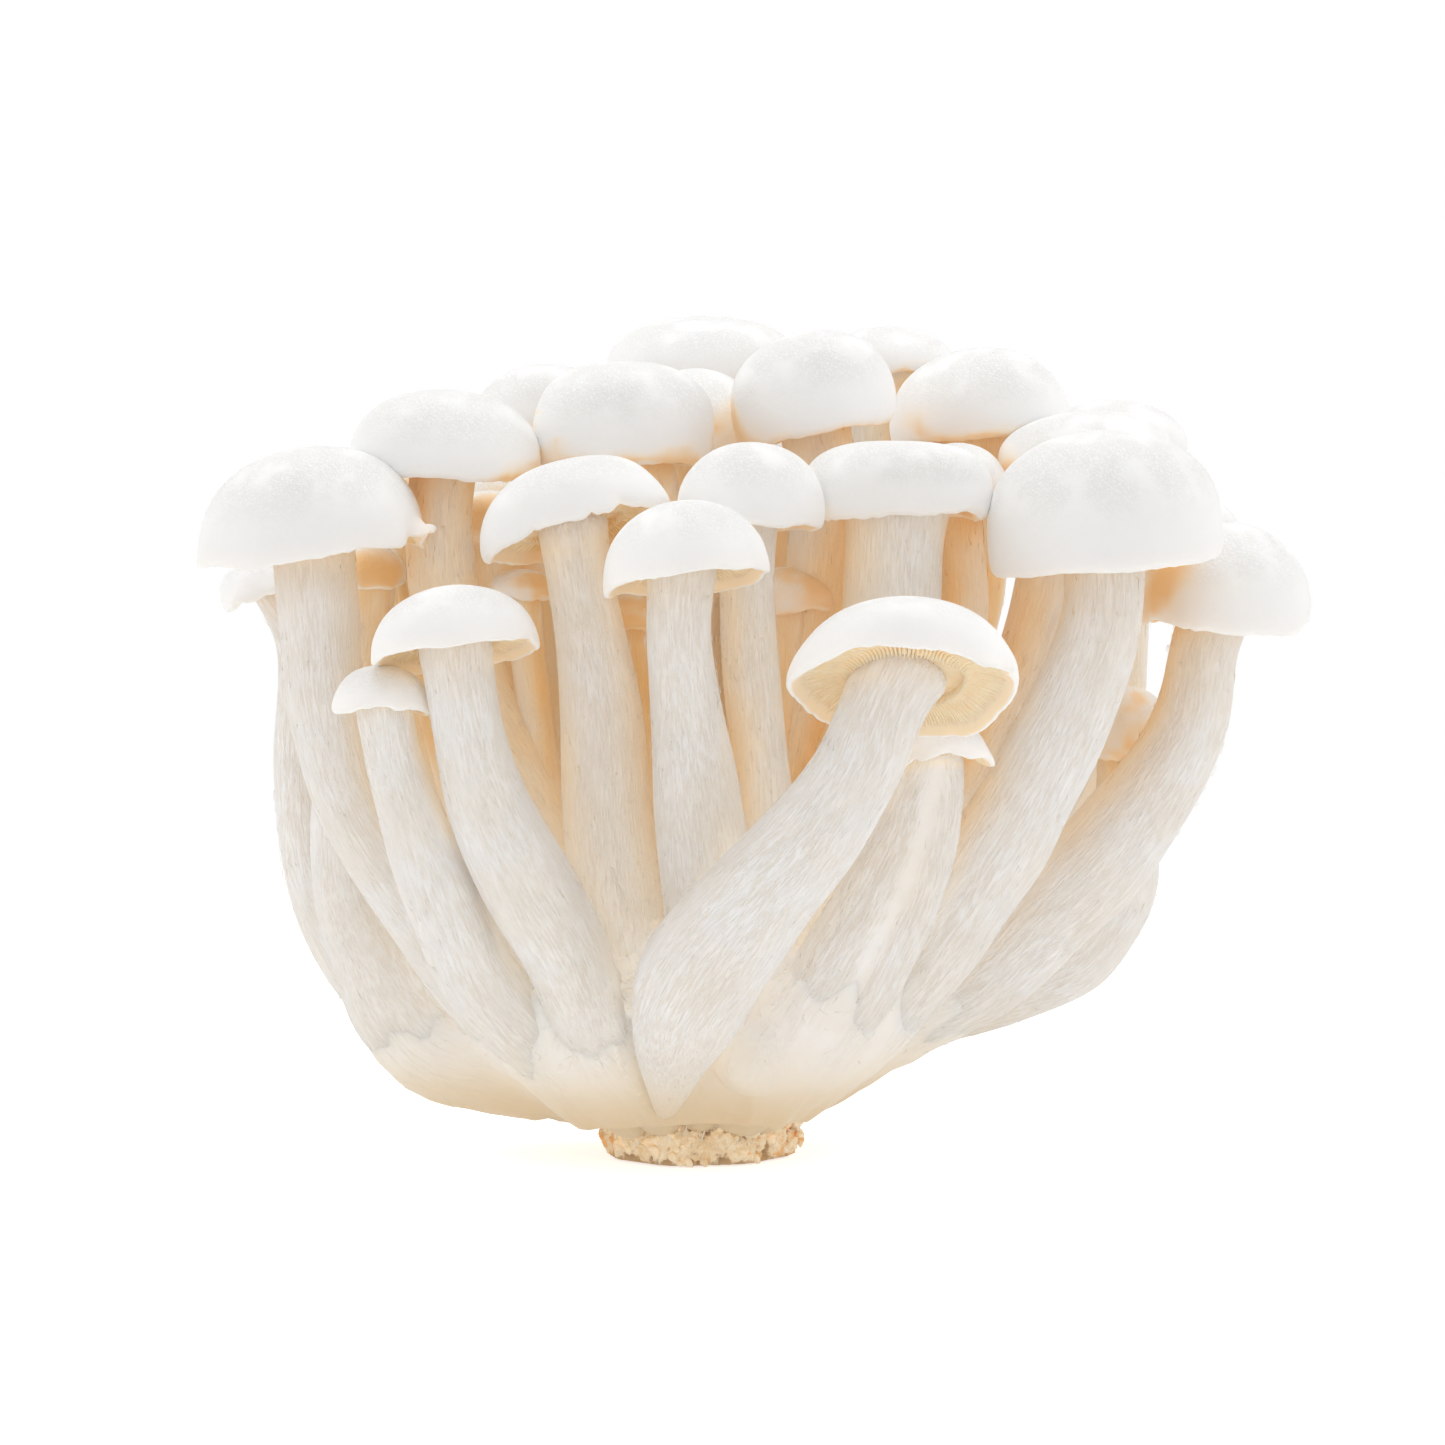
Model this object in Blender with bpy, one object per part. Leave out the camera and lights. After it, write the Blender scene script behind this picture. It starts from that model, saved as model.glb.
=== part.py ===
"""A clump of white beech mushrooms, standing on the cut that parted it from its growing bottle.

Lengths are in millimetres, and become metres where an object is made. X runs to the right across
the front of the clump, Y runs away from the viewer, Z is up, and the origin is the middle of the
cut face.

Each mushroom is placed by where it shows from the front: how far across and how high it stands on
an upright plane that touches the front of the cut, and how far it lies behind the origin. A greater
depth moves it along the viewer's line of sight, so the front view stays the same.
"""

import math
from dataclasses import dataclass

import bmesh
import bpy
from mathutils import Matrix, Vector

MM = 0.001

# The viewer's eye, and the upright plane that places are read on
EYE = Vector((2.5, -560.0, 80.0))
FRONT = -9.0

# Stems are free outside a ball about the cut, and have grown together inside it
FORK_CENTRE = Vector((0.0, 0.0, 3.0))
FORK_RADIUS = 27.0
CLEARANCE = 0.3

# The crumbly slice of mycelium at the bottom, with each ring's height and width as shares of the whole
PLUG_HALF_WIDTH = 9.9
PLUG_HALF_DEPTH = 9.0
PLUG_HEIGHT = 5.2
PLUG_RINGS = ((0.0, 0.92), (0.3, 1.0), (0.72, 0.99), (1.0, 0.86))
PLUG_SIDES = 18

# Lumps round the slice: how many, where they start and how large they are, and their twist going up
PLUG_LUMPS = ((3, 0.7, 0.035), (7, 2.0, 0.03))
PLUG_TWIST = 2.0

# Stems run down to roots inside the plug's top, spread by a share of their own spread
ROOT_SHARE = 0.3
ROOT_REACH = 6.4
ROOT_HEIGHT = 4.0
ROOT_RADIUS = 2.4

# The share of its height above which a bellied stem stands upright
UPRIGHT_FROM = 0.7

# A stem that nothing shows of: shares of its cap's height, and of its thickness there
HIDDEN_STEM = ((0.88, 1.0), (0.7, 1.0), (0.5, 1.1), (0.33, 1.15), (0.2, 1.0))
HIDDEN_STEM_BOW = 0.6
HIDDEN_STEM_THICKNESS = 0.36

# Cap section, as shares of the cap's radius and height, from near the crown round the margin
CAP_OUTSIDE = ((0.40, 0.955), (0.74, 0.78), (0.955, 0.46), (1.0, 0.20), (0.945, 0.0))
CAP_UNDERSIDE = (0.66, 0.19)
CAP_ROOF = 0.30
CAP_ROOF_SPAN = 0.36
COLLAR = 0.6

SMALL_CAP = 7.0
SMALL_CAP_SIDES = 10
CAP_SIDES = 12
STEM_SIDES = 8
STEM_STEP = 9.0
CURVE_STEPS = 8

# The grown-together foot
FOOT_SIDES = 12
FOOT_STEP = 3.0
FOOT_SWELL = 0.3
FOOT_CORE = Vector((9.0, 9.0, 5.5))
FOOT_CORE_HEIGHT = 8.0
FOOT_VOXEL = 0.95
FOOT_FACES_KEPT = 0.03

# Colours, with the stems' for the front and for the shaded middle of the clump, and the depths of those
CAP_COLOUR = (0.83, 0.81, 0.79)
FRONT_STEM_COLOUR = (0.76, 0.70, 0.61)
INNER_STEM_COLOUR = (0.74, 0.56, 0.36)
FRONT_STEM_DEPTH = -30.0
INNER_STEM_DEPTH = 10.0
FOOT_COLOUR = (0.76, 0.66, 0.52)
PLUG_COLOUR = (0.62, 0.49, 0.32)
SKIN_ROUGHNESS = 0.55
FLESH_ROUGHNESS = 0.7
CRUMB_ROUGHNESS = 0.9


@dataclass(frozen=True)
class Mushroom:
    """One mushroom of the clump.

    cap_at is the middle of the cap's margin, across and up. depth is how far behind the origin it
    lies. lean is how many degrees the crown tips to the right, and nod how many it tips away from
    the viewer. stem lists points going down, as across, up and radius, with a second stem in
    joined_stem where two have grown as one. bow is how far the stem bellies out before it rises,
    from 0 for a straight one to 1, and depths places the points of a stem that follows no such rule.
    cap_flat and stem_flat squeeze a piece from front to back.
    """

    name: str
    cap_at: tuple
    depth: float
    cap_radius: float
    cap_height: float
    stem: tuple = ()
    lean: float = 0.0
    nod: float = 0.0
    bow: float = 0.7
    cap_flat: float = 1.0
    stem_flat: float = 1.0
    depths: tuple = ()
    joined_stem: tuple = ()


CLUMP = (
    Mushroom(
        "left_outer", (-38.9, 61.6), -17.0, 11.3, 10.8, lean=-5,
        stem=((-37.8, 56.5, 4.1), (-36.8, 46.0, 4.2), (-34.3, 37.0, 4.2), (-28.5, 27.5, 4.3),
              (-19.7, 16.1, 4.3)),
    ),
    Mushroom(
        "left_upper", (-25.0, 70.9), -10.0, 9.5, 8.2, lean=3, bow=0,
        stem=((-25.7, 66.0, 3.4), (-25.4, 58.5, 3.6), (-22.7, 49.0, 3.9), (-17.5, 39.8, 4.0),
              (-12.0, 29.0, 4.0), (-6.5, 17.0, 3.6)),
    ),
    Mushroom(
        "back_left", (-15.2, 74.3), 18.0, 6.8, 6.3, lean=-3,
        stem=((-14.2, 66.0, 2.6), (-13.6, 57.0, 2.6), (-13.2, 47.0, 2.8), (-11.5, 32.0, 3.2),
              (-6.0, 17.0, 3.0)),
    ),
    Mushroom(
        "centre_left", (-7.2, 71.9), -5.0, 9.2, 9.0,
        stem=((-5.4, 66.0, 3.7), (-4.2, 56.0, 3.6), (-3.4, 42.0, 3.6), (-2.8, 29.0, 3.6),
              (-2.0, 16.0, 3.2)),
    ),
    Mushroom("centre_gap", (-0.5, 73.9), 9.0, 6.0, 6.1),
    Mushroom("back_crown", (0.8, 78.6), 28.0, 9.8, 6.8),
    Mushroom(
        "crown", (12.5, 75.1), -3.0, 8.2, 9.0, lean=-6,
        stem=((12.5, 69.0, 3.5), (12.4, 60.0, 3.5), (11.3, 50.0, 3.7), (9.8, 40.0, 3.8),
              (7.5, 28.0, 3.8), (4.0, 16.0, 3.3)),
    ),
    Mushroom("back_crown_right", (18.8, 79.6), 25.0, 6.8, 4.7),
    Mushroom(
        "right_upper", (28.3, 74.6), 13.5, 8.8, 7.6, lean=-4,
        stem=((27.8, 69.0, 3.4), (27.4, 59.5, 3.4), (25.8, 52.0, 3.5), (22.5, 42.0, 3.5),
              (17.5, 31.0, 3.5), (10.0, 17.0, 3.2)),
    ),
    Mushroom(
        "front_left", (-12.2, 63.6), -22.0, 9.8, 8.2, lean=-19, nod=3, bow=0.3,
        stem=((-11.6, 58.5, 3.4), (-10.6, 54.0, 3.6), (-9.8, 47.5, 4.1), (-9.0, 37.0, 4.6),
              (-8.3, 30.0, 4.6), (-6.9, 22.0, 4.2)),
    ),
    Mushroom(
        "front_middle", (-0.9, 58.6), -33.3, 8.4, 8.1, lean=-8, nod=4, bow=0.3,
        stem=((-1.9, 55.0, 3.4), (-1.4, 50.0, 3.4), (-0.8, 44.0, 3.8), (0.0, 37.5, 4.5),
              (0.7, 31.0, 4.8), (0.8, 22.0, 4.0)),
    ),
    Mushroom(
        "front_right", (5.2, 65.6), -21.5, 7.2, 7.3, nod=4, bow=0.5,
        stem=((4.9, 61.0, 2.8), (5.2, 52.0, 2.9), (5.7, 46.0, 2.9), (6.5, 39.0, 3.0), (7.0, 31.0, 3.2),
              (6.0, 20.0, 3.2)),
    ),
    Mushroom(
        "broad", (20.0, 66.6), -15.0, 9.5, 6.0, bow=0, cap_flat=0.76, stem_flat=0.74,
        stem=((19.6, 62.0, 5.1), (19.4, 54.0, 5.1), (18.0, 46.0, 5.0), (15.0, 36.0, 4.8),
              (10.5, 26.0, 4.4), (5.0, 16.0, 3.6)),
    ),
    Mushroom(
        "behind_broad", (25.3, 67.4), -2.5, 5.5, 5.4,
        stem=((26.6, 61.0, 2.2), (26.8, 55.0, 2.3), (25.5, 48.0, 2.4), (21.0, 37.0, 2.6),
              (14.0, 25.0, 2.6), (8.0, 15.0, 2.4)),
    ),
    Mushroom(
        "leaning", (20.3, 48.3), -38.0, 11.3, 7.5, lean=2, nod=24,
        stem=((18.3, 46.0, 4.2), (16.5, 41.0, 4.4), (12.3, 34.1, 4.9), (7.1, 28.1, 5.5),
              (2.5, 22.6, 6.1), (-0.7, 17.1, 6.2), (-2.9, 12.1, 5.0), (-3.2, 7.4, 2.7),
              (-3.2, 5.2, 1.1)),
        depths=(-38.5, -38.5, -38.0, -36.5, -34.2, -31.1, -23.9, -17.2, -15.0),
    ),
    Mushroom(
        "right_large", (41.1, 61.6), -16.0, 11.9, 12.5, lean=-3,
        stem=((40.8, 58.0, 4.0), (40.1, 53.0, 4.2), (37.3, 46.0, 4.5), (33.8, 39.0, 4.75),
              (29.8, 32.0, 5.0), (25.3, 25.0, 4.9), (20.3, 18.6, 4.6), (15.3, 13.0, 4.0)),
    ),
    Mushroom(
        "behind_right_large", (38.8, 70.6), 3.8, 8.6, 5.4, lean=-4,
        stem=((35.6, 63.0, 3.0), (34.0, 55.0, 3.0), (31.2, 47.0, 3.0), (27.5, 40.0, 3.2),
              (22.0, 30.0, 3.3), (12.0, 17.0, 3.0)),
    ),
    Mushroom(
        "back_right", (43.3, 72.1), 35.0, 7.6, 4.9,
        stem=((42.2, 62.0, 3.0), (41.9, 50.0, 3.0), (40.5, 40.0, 3.2), (31.5, 27.0, 3.3),
              (15.0, 16.0, 3.0)),
    ),
    Mushroom(
        "right_outer", (52.5, 56.1), 0.0, 8.8, 9.0, lean=4,
        stem=((50.9, 52.5, 3.6), (50.7, 49.0, 3.6), (49.1, 43.0, 4.1), (45.3, 37.0, 4.7),
              (40.3, 31.0, 5.0), (34.3, 25.0, 4.9), (27.8, 18.8, 4.5), (20.0, 14.0, 3.4)),
    ),
    Mushroom(
        "back_right_outer", (49.3, 63.0), 23.5, 5.0, 4.3,
        stem=((49.9, 58.0, 2.3), (50.3, 50.0, 2.3), (49.3, 43.0, 2.5), (43.0, 33.0, 2.8),
              (31.0, 23.0, 3.0), (20.0, 14.0, 2.8)),
    ),
    Mushroom(
        "low_left", (-24.1, 51.6), -32.0, 8.4, 6.9, lean=-6, nod=4, bow=0.75,
        stem=((-23.6, 48.0, 3.5), (-23.0, 44.0, 3.5), (-21.9, 39.5, 3.9), (-19.7, 34.0, 4.4),
              (-17.0, 28.7, 4.7), (-14.0, 23.5, 4.7), (-11.7, 18.0, 4.2), (-9.5, 13.0, 3.5)),
    ),
    Mushroom(
        "button_left", (-31.5, 46.4), -29.0, 4.8, 4.1, bow=0.65,
        stem=((-30.9, 43.5, 2.8), (-30.4, 41.0, 2.9), (-29.0, 36.5, 3.2), (-27.2, 31.5, 3.6),
              (-25.0, 26.0, 4.0), (-22.3, 20.0, 4.0), (-18.0, 14.5, 3.8)),
    ),
    Mushroom(
        "button_right", (23.8, 40.6), -22.5, 5.2, 3.3, lean=3,
        stem=((20.9, 37.5, 2.5), (19.8, 34.0, 2.7), (17.1, 28.0, 3.1), (13.3, 21.0, 3.3),
              (9.3, 15.0, 3.0)),
        joined_stem=((24.9, 38.5, 2.1), (24.8, 35.0, 2.2), (23.3, 29.0, 2.5), (20.3, 23.0, 2.8),
                     (16.8, 17.0, 2.9), (12.0, 11.5, 2.7)),
    ),
    Mushroom(
        "bulb_right", (42.8, 41.2), 11.0, 4.5, 7.2,
        stem=((42.6, 38.0, 2.6), (42.7, 33.0, 3.6), (41.6, 28.0, 4.5), (37.5, 21.9, 4.8),
              (30.0, 17.6, 3.6), (21.0, 14.2, 2.6), (13.0, 10.2, 2.3)),
    ),
    Mushroom(
        "back_left_outer", (-43.5, 57.0), 17.0, 4.4, 3.9, lean=-8,
        stem=((-41.0, 53.5, 2.5), (-39.2, 49.0, 3.1), (-38.5, 42.0, 3.8), (-37.9, 35.0, 4.2),
              (-36.2, 27.0, 4.5), (-31.7, 19.0, 4.5), (-24.0, 12.5, 4.0), (-14.0, 8.0, 3.2)),
    ),
    Mushroom(
        "bulb_left", (-33.0, 58.5), -1.0, 4.2, 4.0,
        stem=((-33.2, 54.0, 2.8), (-34.0, 46.0, 3.2), (-34.8, 36.0, 3.8), (-34.4, 29.0, 4.4),
              (-31.4, 21.3, 5.6), (-27.0, 14.2, 6.5), (-20.5, 11.0, 5.9), (-13.0, 8.3, 4.8)),
    ),
    Mushroom("back_low_left", (-21.0, 55.0), 27.0, 6.5, 5.0),
    Mushroom("back_middle", (-4.0, 65.5), 40.0, 8.4, 7.0),
    Mushroom("back_low_right", (14.0, 62.5), 38.0, 8.0, 6.6),
)


def nearness(depth):
    """How much larger a thing at that depth is than it shows on the front plane."""
    return 1.0 + (depth - FRONT) / (FRONT - EYE.y)


def seen_at(across, up, depth):
    """The point that shows at that place from the front and lies that far behind the origin."""
    return EYE + (Vector((across, FRONT, up)) - EYE) * nearness(depth)


def cap_matrix(mushroom):
    """Places a cap whose margin's middle is at 0 and whose crown is along +Z."""
    lean = Matrix.Rotation(math.radians(mushroom.lean), 4, "Y")
    nod = Matrix.Rotation(math.radians(-mushroom.nod), 4, "X")
    return Matrix.Translation(seen_at(*mushroom.cap_at, mushroom.depth)) @ lean @ nod


def spread(share_of_height, bow):
    """How far out a stem has come at a share of its height, from 0 at the root to 1 under the cap."""
    early = 1.0 - (1.0 - min(1.0, share_of_height / UPRIGHT_FROM)) ** 2
    return (1.0 - bow) * share_of_height + bow * early


def visible_stem(mushroom):
    """The stem's points as they show, which for a hidden one run out from the root and up to its cap."""
    if mushroom.stem:
        return mushroom.stem
    across, up = mushroom.cap_at
    thick = HIDDEN_STEM_THICKNESS * mushroom.cap_radius
    return tuple(
        (across * spread(share, HIDDEN_STEM_BOW), up * share, thick * swell) for share, swell in HIDDEN_STEM
    )


def near_root(spread_out):
    """Where a stem's root is, for how far out the stem is."""
    return max(-ROOT_REACH, min(ROOT_REACH, ROOT_SHARE * spread_out))


def stem_path(mushroom, listed):
    """The stem's line from under the cap down to its root, as points and radii."""
    size = nearness(mushroom.depth)
    roof = mushroom.cap_height * size * CAP_ROOF - CLEARANCE
    path = [(cap_matrix(mushroom) @ Vector((0.0, 0.0, roof)), listed[0][2] * size)]
    root_depth = near_root(mushroom.depth)
    for number, (across, up, radius) in enumerate(listed):
        if mushroom.depths:
            depth = mushroom.depths[number]
        else:
            out = spread(up / mushroom.cap_at[1], mushroom.bow)
            depth = root_depth + (mushroom.depth - root_depth) * out
        path.append((seen_at(across, up, depth), radius * nearness(depth)))
    if not mushroom.depths:
        path.append((Vector((near_root(listed[-1][0]), root_depth, ROOT_HEIGHT)), ROOT_RADIUS))
    return path


def curve_through(path, step):
    """The path resampled along a Catmull-Rom curve, with a point about every step."""
    points = [Vector((*point, radius)) for point, radius in path]
    points = [points[0] * 2 - points[1], *points, points[-1] * 2 - points[-2]]
    fine = []
    for a, b, c, d in zip(points, points[1:], points[2:], points[3:]):
        for number in range(CURVE_STEPS):
            t = number / CURVE_STEPS
            curved = (2 * a - 5 * b + 4 * c - d) * t**2 + (3 * b - a - 3 * c + d) * t**3
            fine.append((2 * b + (c - a) * t + curved) / 2)
    fine.append(points[-2])
    along = [0.0]
    for here, there in zip(fine, fine[1:]):
        along.append(along[-1] + (there - here).to_3d().length)
    count = max(3, round(along[-1] / step))
    index = 0
    kept = []
    for number in range(count + 1):
        wanted = along[-1] * number / count
        while index < len(along) - 2 and along[index + 1] < wanted:
            index += 1
        share = (wanted - along[index]) / (along[index + 1] - along[index])
        kept.append(fine[index].lerp(fine[index + 1], min(1.0, share)))
    return [(point.to_3d(), point.w) for point in kept]


def make_object(name, bm, colour, roughness):
    """Links a bmesh, built in millimetres, as an object in metres with a material of its own."""
    bmesh.ops.recalc_face_normals(bm, faces=bm.faces)
    bmesh.ops.scale(bm, vec=(MM, MM, MM), verts=bm.verts)
    mesh = bpy.data.meshes.new(name)
    bm.to_mesh(mesh)
    bm.free()
    mesh.shade_smooth()
    material = bpy.data.materials.new(name)
    material.use_nodes = True
    shader = material.node_tree.nodes["Principled BSDF"]
    shader.inputs["Base Color"].default_value = (*colour, 1.0)
    shader.inputs["Roughness"].default_value = roughness
    shader.inputs["Metallic"].default_value = 0.0
    mesh.materials.append(material)
    obj = bpy.data.objects.new(name, mesh)
    bpy.context.scene.collection.objects.link(obj)
    return obj


def ring(bm, sides, point_at):
    """Adds a ring of vertices, each where point_at puts its angle."""
    return [bm.verts.new(point_at(math.tau * side / sides)) for side in range(sides)]


def skin(bm, rings):
    """Joins rings of as many points with bands of quads."""
    for first, second in zip(rings, rings[1:]):
        for number in range(len(first)):
            after = (number + 1) % len(first)
            bm.faces.new((first[number], first[after], second[after], second[number]))


def full_area(sides):
    """How much wider than a circle a polygon of the same area is, corner to corner."""
    step = math.tau / sides
    return math.sqrt(step / math.sin(step))


def tube(bm, path, sides, flat=1.0, crown_axis=None):
    """Adds a closed tube along the path, squeezed front to back by flat, its top square to crown_axis."""
    last = len(path) - 1
    across = Vector((1.0, 0.0, 0.0))
    rings = []
    for number, (point, radius) in enumerate(path):
        ahead = path[min(last, number + 1)][0] - path[max(0, number - 1)][0]
        if number == 0 and crown_axis:
            ahead = -crown_axis
        ahead.normalize()
        across = (across - ahead * across.dot(ahead)).normalized()
        wide = across * (radius * full_area(sides))
        deep = ahead.cross(wide) * flat
        rings.append(ring(bm, sides, lambda angle: point + wide * math.cos(angle) + deep * math.sin(angle)))
    skin(bm, rings)
    bm.faces.new(rings[0])
    bm.faces.new(rings[-1])


def cap(mushroom):
    """A cap: a dome whose margin curls in, hollow underneath round the stem."""
    size = nearness(mushroom.depth)
    radius = mushroom.cap_radius * size
    height = mushroom.cap_height * size
    sides = SMALL_CAP_SIDES if mushroom.cap_radius < SMALL_CAP else CAP_SIDES
    roof = max(visible_stem(mushroom)[0][2] * size + COLLAR, CAP_ROOF_SPAN * radius)
    section = [(radius * r * full_area(sides), height * z) for r, z in CAP_OUTSIDE]
    section.append((max(roof + COLLAR, CAP_UNDERSIDE[0] * radius), height * CAP_UNDERSIDE[1]))
    section.append((roof, height * CAP_ROOF))
    bm = bmesh.new()
    rings = [
        ring(bm, sides, lambda angle: (r * math.cos(angle), r * mushroom.cap_flat * math.sin(angle), z))
        for r, z in section
    ]
    crown = bm.verts.new((0.0, 0.0, height))
    for here, after in zip(rings[0], rings[0][1:] + rings[0][:1]):
        bm.faces.new((crown, here, after))
    skin(bm, rings)
    bm.faces.new(rings[-1])
    obj = make_object("cap_" + mushroom.name, bm, CAP_COLOUR, SKIN_ROUGHNESS)
    place = cap_matrix(mushroom)
    place.translation *= MM
    obj.matrix_world = place
    return obj


def stem(mushroom, listed, name):
    """One stem as a tube, warmer in colour the deeper it stands in the clump."""
    path = curve_through(stem_path(mushroom, listed), STEM_STEP)
    crown_axis = cap_matrix(mushroom).to_3x3() @ Vector((0.0, 0.0, 1.0))
    inner = max(0.0, min(1.0, (mushroom.depth - FRONT_STEM_DEPTH) / (INNER_STEM_DEPTH - FRONT_STEM_DEPTH)))
    colour = Vector(FRONT_STEM_COLOUR).lerp(Vector(INNER_STEM_COLOUR), inner)
    bm = bmesh.new()
    tube(bm, path, STEM_SIDES, mushroom.stem_flat, crown_axis)
    return make_object(name, bm, colour, FLESH_ROUGHNESS)


def mycelium_plug():
    """The slice of mycelium that the clump stands on, flat where it was cut."""

    def place(angle, height, width):
        for count, turn, size in PLUG_LUMPS:
            width *= 1.0 + size * math.sin(count * angle + turn + PLUG_TWIST * height)
        across = PLUG_HALF_WIDTH * width * math.cos(angle)
        return across, PLUG_HALF_DEPTH * width * math.sin(angle), PLUG_HEIGHT * height

    bm = bmesh.new()
    rings = [ring(bm, PLUG_SIDES, lambda angle: place(angle, *share)) for share in PLUG_RINGS]
    skin(bm, rings)
    bm.faces.new(rings[0])
    bm.faces.new(rings[-1])
    return make_object("mycelium_plug", bm, PLUG_COLOUR, CRUMB_ROUGHNESS)


def add_boolean(obj, cutter, operation):
    """Gives an object a Boolean with a cutter."""
    modifier = obj.modifiers.new(cutter.name, "BOOLEAN")
    modifier.operation = operation
    modifier.object = cutter


def as_cutter(obj):
    """Keeps an object out of the part."""
    obj.hide_render = True
    obj.display_type = "WIRE"
    return obj


def fork_ball(name, radius):
    """A ball about the cut, for parting the stems from the foot."""
    bm = bmesh.new()
    bmesh.ops.create_icosphere(bm, subdivisions=2, radius=radius)
    bmesh.ops.translate(bm, vec=FORK_CENTRE, verts=bm.verts)
    return as_cutter(make_object(name, bm, FOOT_COLOUR, FLESH_ROUGHNESS))


def grown(obj):
    """A cutter that is the object with its surface moved out by the clearance."""
    copy = obj.copy()
    copy.data = obj.data.copy()
    copy.name = "room_for_" + obj.name
    normals = [vert.normal.copy() for vert in copy.data.vertices]
    for vert, normal in zip(copy.data.vertices, normals):
        vert.co += normal * (CLEARANCE * MM)
    bpy.context.scene.collection.objects.link(copy)
    return as_cutter(copy)


def foot():
    """The lower ends of the stems, grown together into one mass above the plug."""
    bm = bmesh.new()
    for mushroom in CLUMP:
        if mushroom.depths:
            continue
        for listed in (visible_stem(mushroom), mushroom.joined_stem):
            if not listed:
                continue
            lower = [
                (point, radius + FOOT_SWELL)
                for point, radius in curve_through(stem_path(mushroom, listed), FOOT_STEP)
                if (point - FORK_CENTRE).length < FORK_RADIUS + FOOT_STEP
            ]
            tube(bm, lower, FOOT_SIDES, mushroom.stem_flat)
    core = bmesh.ops.create_icosphere(bm, subdivisions=2, radius=1.0)["verts"]
    bmesh.ops.scale(bm, vec=FOOT_CORE, verts=core)
    bmesh.ops.translate(bm, vec=(0.0, 0.0, FOOT_CORE_HEIGHT), verts=core)
    obj = make_object("fused_foot", bm, FOOT_COLOUR, FLESH_ROUGHNESS)
    joined = obj.modifiers.new("Grow together", "REMESH")
    joined.mode = "VOXEL"
    joined.voxel_size = FOOT_VOXEL * MM
    fewer = obj.modifiers.new("Fewer faces", "DECIMATE")
    fewer.ratio = FOOT_FACES_KEPT
    return obj


def clear_scene():
    """Removes whatever the file opened with."""
    for obj in list(bpy.data.objects):
        bpy.data.objects.remove(obj)


def main():
    clear_scene()
    base = foot()
    add_boolean(base, fork_ball("inside_fork", FORK_RADIUS - CLEARANCE / 2), "INTERSECT")
    add_boolean(base, grown(mycelium_plug()), "DIFFERENCE")
    outside = fork_ball("outside_fork", FORK_RADIUS + CLEARANCE / 2)
    for mushroom in CLUMP:
        cap(mushroom)
        own_stem = stem(mushroom, visible_stem(mushroom), "stem_" + mushroom.name)
        if mushroom.joined_stem:
            twin = stem(mushroom, mushroom.joined_stem, "twin_" + mushroom.name)
            add_boolean(own_stem, as_cutter(twin), "UNION")
        if mushroom.depths:
            add_boolean(base, grown(own_stem), "DIFFERENCE")
        else:
            add_boolean(own_stem, outside, "DIFFERENCE")


main()
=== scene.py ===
"""The looks of a clump of white beech mushrooms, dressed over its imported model.

Lengths are in millimetres while a piece is modelled, and its finished mesh is scaled to metres. X
runs to the right across the front of the clump, Y runs away from the viewer, Z is up, and the
origin is the middle of the cut face that the clump stands on.
"""

import logging
import math
import random
from collections.abc import Iterator, Sequence
from dataclasses import dataclass, field, replace
from enum import Enum

import bmesh
import bpy
import numpy as np
from mathutils import Matrix, Vector
from mathutils.bvhtree import BVHTree


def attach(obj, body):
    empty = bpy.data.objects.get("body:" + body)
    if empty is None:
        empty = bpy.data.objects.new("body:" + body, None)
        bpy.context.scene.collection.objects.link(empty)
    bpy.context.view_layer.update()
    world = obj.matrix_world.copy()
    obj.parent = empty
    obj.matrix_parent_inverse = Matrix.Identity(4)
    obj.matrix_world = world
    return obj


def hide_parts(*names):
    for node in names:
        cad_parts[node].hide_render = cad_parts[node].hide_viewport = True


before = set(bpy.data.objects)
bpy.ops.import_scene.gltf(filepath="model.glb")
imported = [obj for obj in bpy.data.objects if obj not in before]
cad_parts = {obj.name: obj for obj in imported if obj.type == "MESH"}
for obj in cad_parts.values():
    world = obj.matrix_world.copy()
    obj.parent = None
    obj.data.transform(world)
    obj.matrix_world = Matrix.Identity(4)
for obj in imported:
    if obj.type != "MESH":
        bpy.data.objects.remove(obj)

LOG = logging.getLogger("clump")

MM = 0.001
BODY = "root"
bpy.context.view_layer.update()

Colour = tuple[float, float, float]
Listed = tuple[tuple[float, float, float], ...]

# The viewer's eye, the middle of the view, and the upright plane that places are read on
EYE = Vector((2.5, -560.0, 80.0))
AIM = Vector((2.55, -9.0, 44.85))
FRONT = -9.0
VIEW_WIDTH = 144.5
SENSOR = 36.0

# Where stems run down to, and how they spread from there
ROOT_SHARE = 0.3
ROOT_REACH = 6.4
ROOT_HEIGHT = 4.0
ROOT_RADIUS = 2.4
UPRIGHT_FROM = 0.7
HIDDEN_STEM = ((0.88, 1.0), (0.7, 1.0), (0.5, 1.1), (0.33, 1.15), (0.2, 1.0))
HIDDEN_STEM_BOW = 0.6
HIDDEN_STEM_THICKNESS = 0.36

# How high a stem ends inside its cap, how finely its curve and its grain are followed, and how far
# the grain of one stem lies from the next one's
CAP_ROOF = 0.30
CURVE_STEPS = 8
FINE_STEP = 0.6
GRAIN_APART = 200.0

# How far the grain jumps at a seam between two stems, and over how many points it fades there
SEAM_JUMP = 2.5
SEAM_RINGS = 4

# Painted warm light in the flesh, in place of light that shines through it and between the stems:
# the heights over which it grows, how far in front it fades as the open front light takes over, the
# painted colour deep inside, and the painted glow among the white down low in the clump
PAINTED_WARMTH_HEIGHTS = (15.0, 46.0)
PAINTED_WARMTH_FRONT = (13.0, 27.0)
PAINTED_WARMTH_FRONT_CUT = 0.4
PAINTED_DEEP_AMBER = (0.82, 0.50, 0.18)
PAINTED_DOWN_GLOW = (0.70, 0.65, 0.54)


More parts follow.
